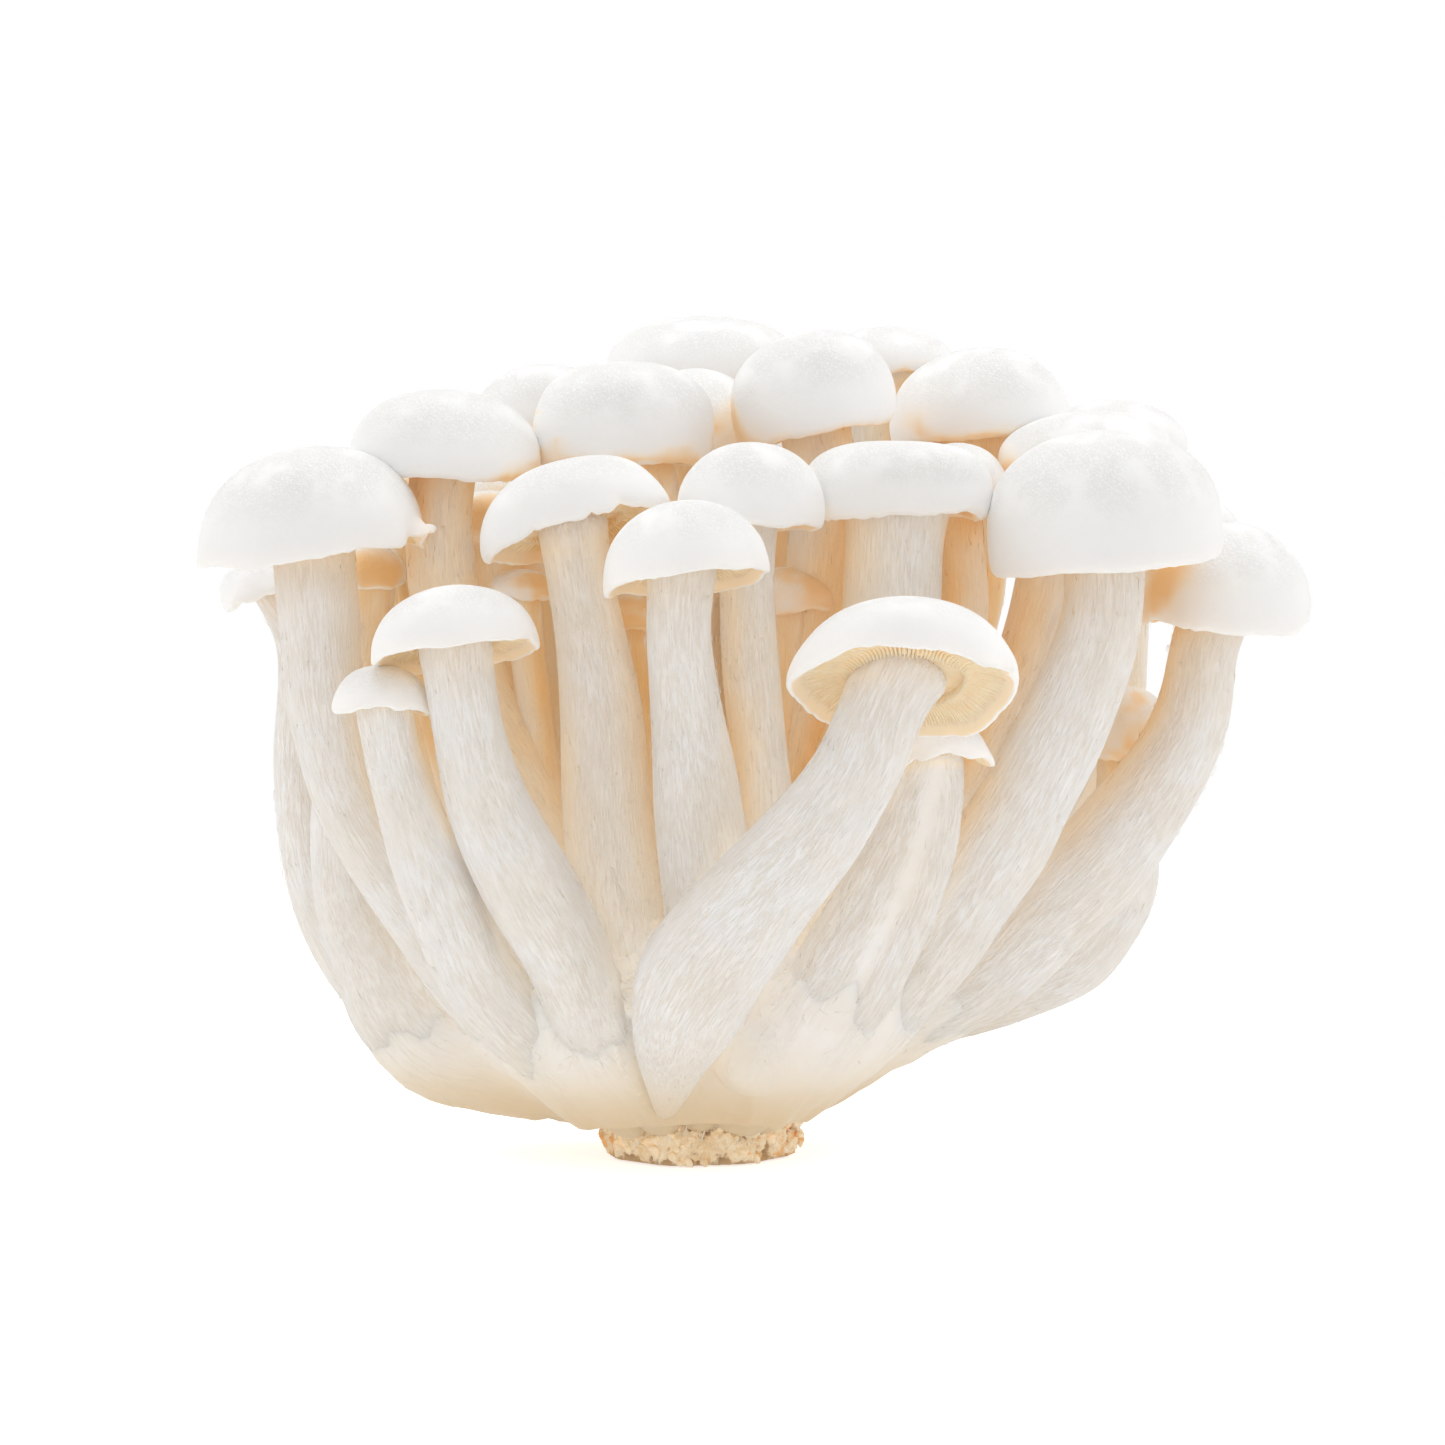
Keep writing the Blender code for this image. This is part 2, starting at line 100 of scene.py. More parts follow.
class Slot(Enum):
    """The material slots of the pieces."""

    CAP_SKIN = "cap_skin"
    STEM_FLESH = "stem_flesh"
    GILL_FLESH = "gill_flesh"
    FOOT_FLESH = "foot_flesh"
    MYCELIUM = "mycelium"


class Margin(Enum):
    """How far a cap's margin curls in, from 0 for a straight edge to 1."""

    CRISP = 0.12
    HELD = 0.45
    ROUNDED = 0.75
    INROLLED = 1.0


@dataclass(frozen=True)
class Dent:
    """A pull on one stretch of a cap's margin.

    angle is where it is, in degrees from the right-hand side towards the back, width how many
    degrees it fades over, out and up how far it pulls, and reach how far up the cap it is felt, as
    a share of the cap's height.
    """

    angle: float
    width: float
    out: float = 0.0
    up: float = 0.0
    reach: float = 0.35


@dataclass(frozen=True)
class Mushroom:
    """One mushroom of the clump.

    cap_at is the middle of the cap's margin as it shows from the front, across and up, and depth is
    how far behind the origin it lies. lean is how many degrees the crown tips to the right, and nod
    how many it tips away from the viewer. stem lists points going down, as across, up and radius,
    with a second stem in joined_stem where two have grown as one. bow is how far the stem bellies
    out before it rises, and depths places the points of a stem that follows no such rule. cap_flat
    and stem_flat squeeze a piece from front to back. margin, box, waviness and dents shape the cap,
    and knob is the angle and the radius of a small round growth on its margin.
    """

    name: str
    cap_at: tuple[float, float]
    depth: float
    cap_radius: float
    cap_height: float
    stem: Listed = ()
    lean: float = 0.0
    nod: float = 0.0
    bow: float = 0.7
    cap_flat: float = 1.0
    stem_flat: float = 1.0
    depths: tuple[float, ...] = ()
    joined_stem: Listed = ()
    margin: Margin = Margin.ROUNDED
    box: float = 2.15
    waviness: float = 0.18
    dents: tuple[Dent, ...] = ()
    stout: float = HIDDEN_STEM_THICKNESS
    knob: tuple[float, float] = ()


CLUMP = (
    Mushroom(
        "left_outer", (-38.0, 61.6), -17.0, 11.0, 10.8, lean=-6, margin=Margin.CRISP, box=2.35,
        knob=(-13.0, 0.62),
        stem=((-37.8, 56.5, 4.1), (-36.8, 46.0, 4.2), (-34.3, 37.0, 4.2), (-28.5, 27.5, 4.3),
              (-19.7, 16.1, 4.3)),
        waviness=0.3,
        dents=(Dent(-14, 7, out=1.1, up=0.7, reach=0.3), Dent(-27, 6, out=-0.3, up=0.8, reach=0.25),
               Dent(-38, 8, out=0.3, up=-0.2, reach=0.25), Dent(-165, 16, out=0.3, up=-0.1, reach=0.4)),
    ),
    Mushroom(
        "left_upper", (-25.2, 69.4), -10.0, 9.5, 8.7, lean=3, bow=0,
        stem=((-25.7, 66.0, 3.4), (-25.4, 58.5, 3.6), (-22.7, 49.0, 3.9), (-17.5, 39.8, 4.0),
              (-12.0, 29.0, 4.0), (-6.5, 17.0, 3.6)),
    ),
    Mushroom(
        "back_left", (-15.2, 74.3), 18.0, 6.8, 6.3, lean=-3,
        stem=((-14.2, 66.0, 2.6), (-13.6, 57.0, 2.6), (-13.2, 47.0, 2.8), (-11.5, 32.0, 3.2),
              (-6.0, 17.0, 3.0)),
    ),
    Mushroom(
        "centre_left", (-7.3, 70.6), -5.0, 9.2, 10.3, margin=Margin.INROLLED, box=2.5,
        stem=((-5.4, 66.0, 3.7), (-4.2, 56.0, 3.6), (-3.4, 42.0, 3.6), (-2.8, 29.0, 3.6),
              (-2.0, 16.0, 3.2)),
    ),
    Mushroom("centre_gap", (-0.1, 71.4), 9.0, 6.8, 8.8),
    Mushroom("back_crown", (0.8, 78.6), 28.0, 9.8, 6.8, stout=0.62),
    Mushroom(
        "crown", (12.2, 73.7), -3.0, 8.3, 10.2, lean=-12, margin=Margin.INROLLED, box=2.3,
        stem=((12.5, 69.0, 3.5), (12.4, 60.0, 3.5), (11.3, 50.0, 3.7), (9.8, 40.0, 3.8),
              (7.5, 28.0, 3.8), (4.0, 16.0, 3.3)),
    ),
    Mushroom("back_crown_right", (18.8, 79.6), 25.0, 6.8, 4.7, stout=0.64),
    Mushroom(
        "right_upper", (28.4, 73.3), 13.5, 8.9, 8.9, lean=-6,
        stem=((27.8, 69.0, 3.4), (27.4, 59.5, 3.4), (25.8, 52.0, 3.5), (22.5, 42.0, 3.5),
              (17.5, 31.0, 3.5), (10.0, 17.0, 3.2)),
    ),
    Mushroom(
        "front_left", (-11.8, 63.3), -22.0, 9.6, 7.8, lean=-16, nod=14, bow=0.3, margin=Margin.HELD,
        stem=((-11.6, 58.5, 3.4), (-10.6, 54.0, 3.6), (-9.8, 47.5, 4.1), (-9.0, 37.0, 4.6),
              (-8.3, 30.0, 4.6), (-6.9, 22.0, 4.2)),
        waviness=0.3,
        dents=(Dent(-74, 3, up=0.35, reach=0.15), Dent(-64, 5, out=0.15, up=-0.35, reach=0.25),
               Dent(-52, 4, out=-0.2, up=0.4, reach=0.2), Dent(-118, 5, up=0.25, reach=0.15)),
    ),
    Mushroom(
        "front_middle", (-0.9, 58.8), -33.3, 8.4, 8.3, lean=-7, nod=10, bow=0.3, margin=Margin.CRISP,
        stem=((-1.9, 55.0, 3.4), (-1.4, 50.0, 3.4), (-0.8, 44.0, 3.8), (0.0, 37.5, 4.5),
              (0.7, 31.0, 4.8), (0.8, 22.0, 4.0)),
        dents=(Dent(-178, 16, out=0.2, up=-0.4, reach=0.4), Dent(-8, 12, out=0.2, up=-0.3, reach=0.3)),
    ),
    Mushroom(
        "front_right", (5.3, 64.5), -21.5, 7.4, 8.4, lean=3, nod=4, bow=0.5, margin=Margin.HELD,
        stem=((4.9, 61.0, 2.8), (5.2, 52.0, 2.9), (5.7, 46.0, 2.9), (6.5, 39.0, 3.0), (7.0, 31.0, 3.2),
              (6.0, 20.0, 3.2)),
    ),
    Mushroom(
        "broad", (20.0, 65.5), -15.0, 9.6, 7.5, bow=0, cap_flat=0.76, stem_flat=0.74,
        margin=Margin.INROLLED, box=2.9, waviness=0.3,
        stem=((19.6, 62.0, 5.1), (19.4, 54.0, 5.1), (18.0, 46.0, 5.0), (15.0, 36.0, 4.8),
              (10.5, 26.0, 4.4), (5.0, 16.0, 3.6)),
        dents=(Dent(-80, 22, out=-0.5, reach=0.9), Dent(-20, 20, out=0.3, up=0.1, reach=0.6)),
    ),
    Mushroom(
        "behind_broad", (26.0, 65.4), -2.5, 5.4, 7.4,
        stem=((26.6, 61.0, 2.2), (26.8, 55.0, 2.3), (25.5, 48.0, 2.4), (21.0, 37.0, 2.6),
              (14.0, 25.0, 2.6), (8.0, 15.0, 2.4)),
    ),
    Mushroom(
        "leaning", (20.9, 47.9), -38.0, 11.2, 8.7, lean=2, nod=29.5, margin=Margin.CRISP,
        stem=((18.3, 46.0, 4.2), (16.5, 41.0, 4.4), (12.3, 34.1, 4.9), (7.1, 28.1, 5.5),
              (2.5, 22.6, 6.1), (-0.7, 17.6, 6.1), (-1.9, 13.4, 4.5), (-2.6, 9.8, 3.0),
              (-3.3, 5.2, 0.9)),
        depths=(-38.5, -38.5, -38.0, -36.5, -34.2, -31.4, -25.6, -20.2, -14.6),
        waviness=0.35,
        dents=(Dent(-150, 20, out=0.2, up=-0.9, reach=0.5), Dent(-48, 9, out=0.3, up=-0.4, reach=0.4),
               Dent(-36, 3.5, out=-0.5, up=0.4, reach=0.6), Dent(-29, 3, out=0.3, reach=0.5),
               Dent(-22, 3.5, out=-0.5, up=0.4, reach=0.6)),
    ),
    Mushroom(
        "right_large", (40.9, 60.4), -16.0, 12.0, 13.7, lean=-5, margin=Margin.HELD, box=2.3,
        stem=((40.8, 58.0, 4.0), (40.1, 53.0, 4.2), (37.3, 46.0, 4.5), (33.8, 39.0, 4.75),
              (29.8, 32.0, 5.0), (25.3, 25.0, 4.9), (20.3, 18.6, 4.6), (15.3, 13.0, 4.0)),
    ),
    Mushroom(
        "behind_right_large", (38.8, 70.6), 3.8, 8.6, 5.4, lean=-4,
        stem=((35.6, 63.0, 3.0), (34.0, 55.0, 3.0), (31.2, 47.0, 3.0), (27.5, 40.0, 3.2),
              (22.0, 30.0, 3.3), (12.0, 17.0, 3.0)),
    ),
    Mushroom(
        "back_right", (40.9, 71.6), 35.0, 7.8, 5.4,
        stem=((42.2, 62.0, 3.0), (41.9, 50.0, 3.0), (40.5, 40.0, 3.2), (31.5, 27.0, 3.3),
              (15.0, 16.0, 3.0)),
    ),
    Mushroom(
        "right_outer", (52.4, 54.4), 0.0, 8.8, 10.5, lean=3, margin=Margin.HELD, waviness=0.3,
        stem=((50.5, 52.0, 3.5), (50.2, 49.0, 3.5), (48.6, 43.0, 4.0), (44.9, 37.0, 4.6),
              (40.3, 31.0, 5.0), (34.3, 25.0, 4.9), (27.8, 18.8, 4.5), (20.0, 14.0, 3.4)),
        dents=(Dent(-8, 7, out=-0.7, up=0.8, reach=0.6), Dent(6, 7, out=0.5, up=0.3, reach=0.6)),
    ),
    Mushroom(
        "back_right_outer", (49.3, 63.0), 23.5, 5.0, 4.3,
        stem=((49.9, 58.0, 2.3), (50.3, 50.0, 2.3), (49.3, 43.0, 2.5), (43.0, 33.0, 2.8),
              (31.0, 23.0, 3.0), (20.0, 14.0, 2.8)),
    ),
    Mushroom(
        "low_left", (-24.1, 51.5), -32.0, 8.4, 7.0, lean=-6, nod=12, bow=0.75, margin=Margin.CRISP,
        stem=((-23.6, 48.0, 3.5), (-23.0, 44.0, 3.5), (-21.9, 39.5, 3.9), (-19.7, 34.0, 4.4),
              (-17.0, 28.7, 4.7), (-14.0, 23.5, 4.7), (-11.7, 18.0, 4.2), (-9.5, 13.0, 3.5)),
        dents=(Dent(-22, 12, out=0.2, up=0.3, reach=0.4), Dent(-170, 14, up=-0.4, reach=0.3)),
    ),
    Mushroom(
        "button_left", (-31.5, 45.9), -29.0, 4.8, 4.7, bow=0.65, nod=6, margin=Margin.HELD, waviness=0.2,
        stem=((-30.9, 43.5, 2.8), (-30.4, 41.0, 2.9), (-29.0, 36.5, 3.2), (-27.2, 31.5, 3.6),
              (-25.0, 26.0, 4.0), (-22.3, 20.0, 4.0), (-18.0, 14.5, 3.8)),
        dents=(Dent(-60, 10, out=0.1, up=-0.25, reach=0.4), Dent(-115, 10, out=-0.1, up=0.3, reach=0.4)),
    ),
    Mushroom(
        "button_right", (23.7, 41.2), -22.5, 5.3, 4.0, lean=-1, margin=Margin.CRISP, waviness=0.4,
        stem=((21.4, 37.5, 2.9), (20.4, 34.0, 3.0), (17.6, 28.0, 3.3), (13.5, 21.0, 3.4),
              (9.3, 15.0, 3.1)),
        joined_stem=((24.5, 38.5, 2.5), (24.0, 35.0, 2.5), (22.5, 29.0, 2.8), (19.9, 23.0, 3.0),
                     (16.8, 17.0, 2.9), (12.0, 11.5, 2.7)),
        dents=(Dent(-8, 14, out=0.5, up=-0.2, reach=0.5), Dent(-75, 16, up=0.4, reach=0.5)),
    ),
    Mushroom(
        "bulb_right", (42.8, 41.2), 11.0, 4.5, 7.2, box=2.4,
        stem=((42.6, 38.0, 2.6), (42.7, 33.0, 3.6), (41.6, 28.0, 4.5), (37.5, 21.9, 4.8),
              (30.0, 17.6, 3.6), (21.0, 14.2, 2.6), (13.0, 10.2, 2.3)),
    ),
    Mushroom(
        "back_left_outer", (-42.3, 57.4), 17.0, 5.4, 4.2, lean=-8, waviness=0.35,
        stem=((-39.6, 53.5, 2.4), (-38.9, 49.0, 2.9), (-38.5, 42.0, 3.8), (-37.9, 35.0, 4.2),
              (-36.2, 27.0, 4.5), (-31.7, 19.0, 4.5), (-24.0, 12.5, 4.0), (-14.0, 8.0, 3.2)),
    ),
    Mushroom(
        "bulb_left", (-33.0, 58.5), -1.0, 4.2, 4.0,
        stem=((-33.2, 54.0, 2.8), (-34.0, 46.0, 3.2), (-34.8, 36.0, 3.8), (-34.4, 29.0, 4.4),
              (-31.4, 21.3, 5.6), (-27.0, 14.2, 6.5), (-20.5, 11.4, 5.6), (-13.0, 9.1, 4.4)),
    ),
    Mushroom("back_low_left", (-21.0, 55.0), 27.0, 6.5, 5.0),
    Mushroom("back_middle", (-4.0, 65.5), 40.0, 8.4, 7.0),
    Mushroom("back_low_right", (14.0, 62.5), 38.0, 8.0, 6.6),
)

# Young mushrooms inside the clump, which have no solids of their own
YOUNG = tuple(
    Mushroom(f"young_{number:02d}", (across, up), depth, radius, height, stout=0.52)
    for number, (across, up, depth, radius, height) in enumerate(
        (
            (-30.0, 59.5, 7.0, 5.0, 4.8), (-20.5, 63.0, 3.0, 5.6, 5.0), (-17.6, 57.2, -9.0, 3.4, 3.0),
            (-10.5, 61.5, 8.0, 5.6, 5.2), (-1.0, 62.5, 14.0, 6.2, 5.4), (7.6, 66.5, 9.0, 5.6, 5.4),
            (17.0, 66.0, 12.0, 6.2, 5.2), (23.5, 67.5, 23.0, 5.6, 5.0), (-27.0, 47.0, 9.0, 5.0, 4.6),
            (-14.0, 50.0, 24.0, 6.2, 5.4), (1.0, 53.0, 27.0, 6.4, 5.4), (15.5, 52.0, 24.0, 6.2, 5.2),
            (24.0, 56.0, 8.0, 4.6, 4.2), (33.5, 42.0, 18.0, 5.0, 4.4), (-5.0, 54.0, -6.0, 4.6, 4.2),
            (9.0, 56.0, -4.0, 5.0, 4.4), (-35.0, 44.0, 14.0, 4.6, 4.4), (25.0, 45.0, 2.0, 4.4, 4.0),
            (-16.5, 59.4, 6.0, 4.6, 4.6), (-21.5, 65.0, 9.0, 5.0, 5.2), (8.0, 70.0, 20.0, 5.0, 5.4),
            (22.5, 69.8, 24.0, 5.0, 5.2), (-29.0, 65.6, 3.0, 4.6, 4.6),
        )
    )
)
GROWN = CLUMP + YOUNG


# Where things grow


def nearness(depth: float) -> float:
    """How much larger a thing at that depth is than it shows on the front plane."""
    return 1.0 + (depth - FRONT) / (FRONT - EYE.y)


def seen_at(across: float, up: float, depth: float) -> Vector:
    """The point that shows at that place from the front and lies that far behind the origin."""
    return EYE + (Vector((across, FRONT, up)) - EYE) * nearness(depth)


def cap_matrix(mushroom: Mushroom) -> Matrix:
    """Places a cap whose margin's middle is at 0 and whose crown is along +Z."""
    lean = Matrix.Rotation(math.radians(mushroom.lean), 4, "Y")
    nod = Matrix.Rotation(math.radians(-mushroom.nod), 4, "X")
    return Matrix.Translation(seen_at(*mushroom.cap_at, mushroom.depth)) @ lean @ nod


def spread(share_of_height: float, bow: float) -> float:
    """How far out a stem has come at a share of its height, from 0 at the root to 1 under the cap."""
    early = 1.0 - (1.0 - min(1.0, share_of_height / UPRIGHT_FROM)) ** 2
    return (1.0 - bow) * share_of_height + bow * early


def visible_stem(mushroom: Mushroom) -> Listed:
    """The stem's points as they show, which for a hidden one run out from the root and up to its cap."""
    if mushroom.stem:
        return mushroom.stem
    across, up = mushroom.cap_at
    thick = mushroom.stout * mushroom.cap_radius
    return tuple(
        (across * spread(share, HIDDEN_STEM_BOW), up * share, thick * swell) for share, swell in HIDDEN_STEM
    )


def near_root(spread_out: float) -> float:
    """Where a stem's root is, for how far out the stem is."""
    return max(-ROOT_REACH, min(ROOT_REACH, ROOT_SHARE * spread_out))


def stem_path(mushroom: Mushroom, listed: Listed) -> list[tuple[Vector, float]]:
    """The stem's line from under the cap down to its root.

    Args:
        mushroom: the mushroom that the stem carries.
        listed: the stem's points as they show.

    Returns:
        Points with the stem's radius at each.
    """
    size = nearness(mushroom.depth)
    roof = Vector((0.0, 0.0, mushroom.cap_height * size * CAP_ROOF))
    path = [(cap_matrix(mushroom) @ roof, listed[0][2] * size)]
    root_depth = near_root(mushroom.depth)
    for number, (across, up, radius) in enumerate(listed):
        if mushroom.depths:
            depth = mushroom.depths[number]
        else:
            out = spread(up / mushroom.cap_at[1], mushroom.bow)
            depth = root_depth + (mushroom.depth - root_depth) * out
        path.append((seen_at(across, up, depth), radius * nearness(depth)))
    if not mushroom.depths:
        path.append((Vector((near_root(listed[-1][0]), root_depth, ROOT_HEIGHT)), ROOT_RADIUS))
    return path


def curve_through(path: list[tuple[Vector, float]], step: float) -> list[tuple[Vector, float]]:
    """The path resampled along a Catmull-Rom curve.

    Args:
        path: points with a radius at each.
        step: about how far apart the new points are.

    Returns:
        Points with the radius at each, as in the path.
    """
    points = [Vector((*point, radius)) for point, radius in path]
    points = [points[0] * 2 - points[1], *points, points[-1] * 2 - points[-2]]
    fine = []
    for a, b, c, d in zip(points, points[1:], points[2:], points[3:]):
        for number in range(CURVE_STEPS):
            t = number / CURVE_STEPS
            curved = (2 * a - 5 * b + 4 * c - d) * t**2 + (3 * b - a - 3 * c + d) * t**3
            fine.append((2 * b + (c - a) * t + curved) / 2)
    fine.append(points[-2])
    along = [0.0]
    for here, there in zip(fine, fine[1:]):
        along.append(along[-1] + (there - here).to_3d().length)
    count = max(3, round(along[-1] / step))
    index = 0
    kept = []
    for number in range(count + 1):
        wanted = along[-1] * number / count
        while index < len(along) - 2 and along[index + 1] < wanted:
            index += 1
        share = (wanted - along[index]) / (along[index + 1] - along[index])
        kept.append(fine[index].lerp(fine[index + 1], min(1.0, share)))
    return [(point.to_3d(), point.w) for point in kept]


@dataclass(frozen=True)
class Relief:
    """Smooth random relief about 1 high, made of sine waves that run in all directions."""

    wavelength: float
    seed: int
    waves: int = 28

    def at(self, points: np.ndarray) -> np.ndarray:
        """The relief's height at each of the points."""
        rng = np.random.default_rng(self.seed)
        ways = rng.normal(size=(self.waves, points.shape[1]))
        ways /= np.linalg.norm(ways, axis=1, keepdims=True)
        numbers = math.tau / (self.wavelength * rng.uniform(0.7, 1.6, self.waves))
        phases = rng.uniform(0.0, math.tau, self.waves)
        heights = np.sin(points @ (ways * numbers[:, None]).T + phases)
        return heights.sum(axis=1) * math.sqrt(2.0 / self.waves)


@dataclass
class Shade:
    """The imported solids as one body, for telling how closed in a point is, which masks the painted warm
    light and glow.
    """

    reach: float = 30.0
    ways: int = 40
    off_skin: float = 0.9
    past_skin: float = 0.05
    least_facing: float = 0.15
    front_light_weight: float = 2.0
    tree: BVHTree = field(init=False)

    def __post_init__(self) -> None:
        """Gathers the solids, in millimetres."""
        points: list[Vector] = []
        faces: list[tuple[int, ...]] = []
        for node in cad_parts.values():
            first = len(points)
            points.extend(vert.co / MM for vert in node.data.vertices)
            faces.extend(tuple(first + index for index in face.vertices) for face in node.data.polygons)
        self.tree = BVHTree.FromPolygons(points, faces)

    def blocked(self, start: Vector, way: Vector) -> bool:
        """Whether flesh stands that way, apart from the solid that the point itself is in."""
        hit, normal, _, _ = self.tree.ray_cast(start, way, self.reach)
        if hit is not None and normal.dot(way) > 0.0:
            hit, normal, _, _ = self.tree.ray_cast(hit + way * self.past_skin, way, self.reach)
        return hit is not None

    def at(self, points: np.ndarray, normals: np.ndarray) -> np.ndarray:
        """How much of what each point faces is flesh, from 0 in the open to 1 deep inside.

        The ways towards the front light count more, and the share masks the painted warm light and glow.

        Args:
            points: points on the clump.
            normals: the directions that they face.

        Returns:
            A share for each point.
        """
        turns = np.arange(self.ways) * math.pi * (3.0 - math.sqrt(5.0))
        rise = 1.0 - 2.0 * (np.arange(self.ways) + 0.5) / self.ways
        wide = np.sqrt(1.0 - rise**2)
        ways = np.stack([wide * np.cos(turns), wide * np.sin(turns), rise], axis=1)
        weights = np.maximum(normals @ ways.T, 0.0)
        # Ways towards the studio's front light weigh more, so the share follows shade from that light
        bright = 1.0 + self.front_light_weight * np.maximum(-ways[:, 1], 0.0)
        vectors = [Vector(way) for way in ways]
        shares = np.zeros(len(points))
        for number, (point, normal, row) in enumerate(zip(points, normals, weights)):
            start = Vector(point + normal * self.off_skin)
            facing = np.flatnonzero(row > self.least_facing)
            light = row * bright
            hidden = sum(light[index] for index in facing if self.blocked(start, vectors[index]))
            shares[number] = hidden / max(1e-6, light[facing].sum())
        return shares


@dataclass
class GrowthLine:
    """A stem's centre line with a frame at each point, and the grain that runs along it."""

    points: np.ndarray
    wide: np.ndarray
    deep: np.ndarray
    ahead: np.ndarray
    radii: np.ndarray
    along: np.ndarray

    @classmethod
    def through(cls, path: list[tuple[Vector, float]], step: float, first: Vector) -> "GrowthLine":
        """The line along a path.

        Args:
            path: points with a radius at each.
            step: about how far apart the line's points are.
            first: the direction that the line starts in.

        Returns:
            The line, its frames carried along without twisting.
        """
        samples = curve_through(path, step)
        last = len(samples) - 1
        across = Vector((1.0, 0.0, 0.0))
        rows = []
        length = 0.0
        for number, (point, radius) in enumerate(samples):
            ahead = samples[min(last, number + 1)][0] - samples[max(0, number - 1)][0]
            if number == 0:
                ahead = first.copy()
            else:
                length += (point - samples[number - 1][0]).length
            ahead.normalize()
            across = (across - ahead * across.dot(ahead)).normalized()
            rows.append((*point, *across, *ahead.cross(across), *ahead, radius, length))
        table = np.array(rows)
        return cls(
            table[:, 0:3], table[:, 3:6], table[:, 6:9], table[:, 9:12], table[:, 12], table[:, 13]
        )

    def rings(self, flat: float = 1.0, girth: float = 1.0) -> Iterator[Matrix]:
        """The place of each ring of a tube round the line, squeezed front to back by flat."""
        for point, wide, deep, ahead, radius in zip(
            self.points, self.wide, self.deep, self.ahead, self.radii * girth
        ):
            columns = np.eye(4)
            columns[:3, 0] = wide * radius
            columns[:3, 1] = deep * radius * flat
            columns[:3, 2] = ahead
            columns[:3, 3] = point
            yield Matrix(columns.tolist())

    def nearest(self, points: np.ndarray) -> np.ndarray:
        """The number of the line's point that each of the points lies nearest to, for its girth."""
        found = np.empty(len(points), np.int64)
        squares = self.radii**2
        for start in range(0, len(points), 2000):
            offsets = points[start : start + 2000, None, :] - self.points[None, :, :]
            found[start : start + 2000] = ((offsets**2).sum(axis=2) - squares).argmin(axis=1)
        return found

    def grain(self, points: np.ndarray) -> np.ndarray:
        """Each point's place in the grain: two coordinates across the stem and one along it."""
        index = self.nearest(points)
        offsets = points - self.points[index]
        across = (offsets * self.wide[index]).sum(axis=1)
        deep = (offsets * self.deep[index]).sum(axis=1)
        on = (offsets * self.ahead[index]).sum(axis=1)
        return np.stack([across, deep, self.along[index] + on], axis=1)

    def store(self, obj: bpy.types.Object) -> None:
        """Stores the grain at the mesh's points, and how near each is to a seam where it jumps."""
        grain = self.grain(points_of(obj))
        keep_values(obj, "grain", grain)
        ends = np.empty(len(obj.data.edges) * 2, np.int32)
        obj.data.edges.foreach_get("vertices", ends)
        one, other = ends[0::2], ends[1::2]
        torn = np.linalg.norm(grain[one] - grain[other], axis=1) > SEAM_JUMP
        seam = np.zeros(len(grain))
        seam[one[torn]] = seam[other[torn]] = 1.0
        for _ in range(SEAM_RINGS):
            wider = seam.copy()
            np.maximum.at(wider, one, seam[other] - 1.0 / SEAM_RINGS)
            np.maximum.at(wider, other, seam[one] - 1.0 / SEAM_RINGS)
            seam = wider
        keep_values(obj, "seam", seam)

    @classmethod
    def joined(cls, lines: Sequence["GrowthLine"]) -> "GrowthLine":
        """All the lines as one, with each line's grain well apart from the one before."""
        parts = [[], [], [], [], [], []]
        for number, line in enumerate(lines):
            along = line.along + GRAIN_APART * number
            values = (line.points, line.wide, line.deep, line.ahead, line.radii, along)
            for part, value in zip(parts, values):
                part.append(value)
        return cls(*(np.concatenate(part) for part in parts))


# Modelling by hand


def move_selected(obj: bpy.types.Object, matrix: Matrix) -> None:
    """Moves what is selected in edit mode by a matrix."""
    mesh = bmesh.from_edit_mesh(obj.data)
    bmesh.ops.transform(mesh, matrix=matrix, verts=[vert for vert in mesh.verts if vert.select])
    bmesh.update_edit_mesh(obj.data)


def draw_tube(name: str, rings: Sequence[Matrix], sides: int) -> bpy.types.Object:
    """Draws a closed tube out of a disc, by extruding its face from ring to ring.

    Args:
        name: the new object's name.
        rings: where each ring of radius 1 is, and how large.
        sides: how many points a ring has.

    Returns:
        The object, in millimetres.
    """
    bpy.ops.object.select_all(action="DESELECT")
    bpy.ops.mesh.primitive_circle_add(vertices=sides, radius=1.0, fill_type="NGON")
    obj = bpy.context.object
    obj.name = obj.data.name = name
    bpy.ops.object.mode_set(mode="EDIT")
    bpy.ops.mesh.select_all(action="SELECT")
    move_selected(obj, rings[0])
    for before, after in zip(rings, rings[1:]):
        bpy.ops.mesh.extrude_region()
        move_selected(obj, after @ before.inverted())
    bpy.ops.mesh.select_all(action="SELECT")
    bpy.ops.mesh.normals_make_consistent(inside=False)
    bpy.ops.object.mode_set(mode="OBJECT")
    return obj


def apply_modifier(obj: bpy.types.Object, kind: str, **settings: float | int | str | bool) -> None:
    """Gives an object a modifier with these settings, and applies it."""
    make_active(obj)
    bpy.ops.object.modifier_add(type=kind)
    modifier = obj.modifiers[-1]
    for key, value in settings.items():
        setattr(modifier, key, value)
    bpy.ops.object.modifier_apply(modifier=modifier.name)


def make_active(obj: bpy.types.Object) -> None:
    """Selects an object alone."""
    bpy.ops.object.select_all(action="DESELECT")
    obj.select_set(True)
    bpy.context.view_layer.objects.active = obj


def join(objects: Sequence[bpy.types.Object], name: str) -> bpy.types.Object:
    """Joins objects into one of that name."""
    make_active(objects[0])
    for obj in objects:
        obj.select_set(True)
    bpy.ops.object.join()
    objects[0].name = objects[0].data.name = name
    return objects[0]


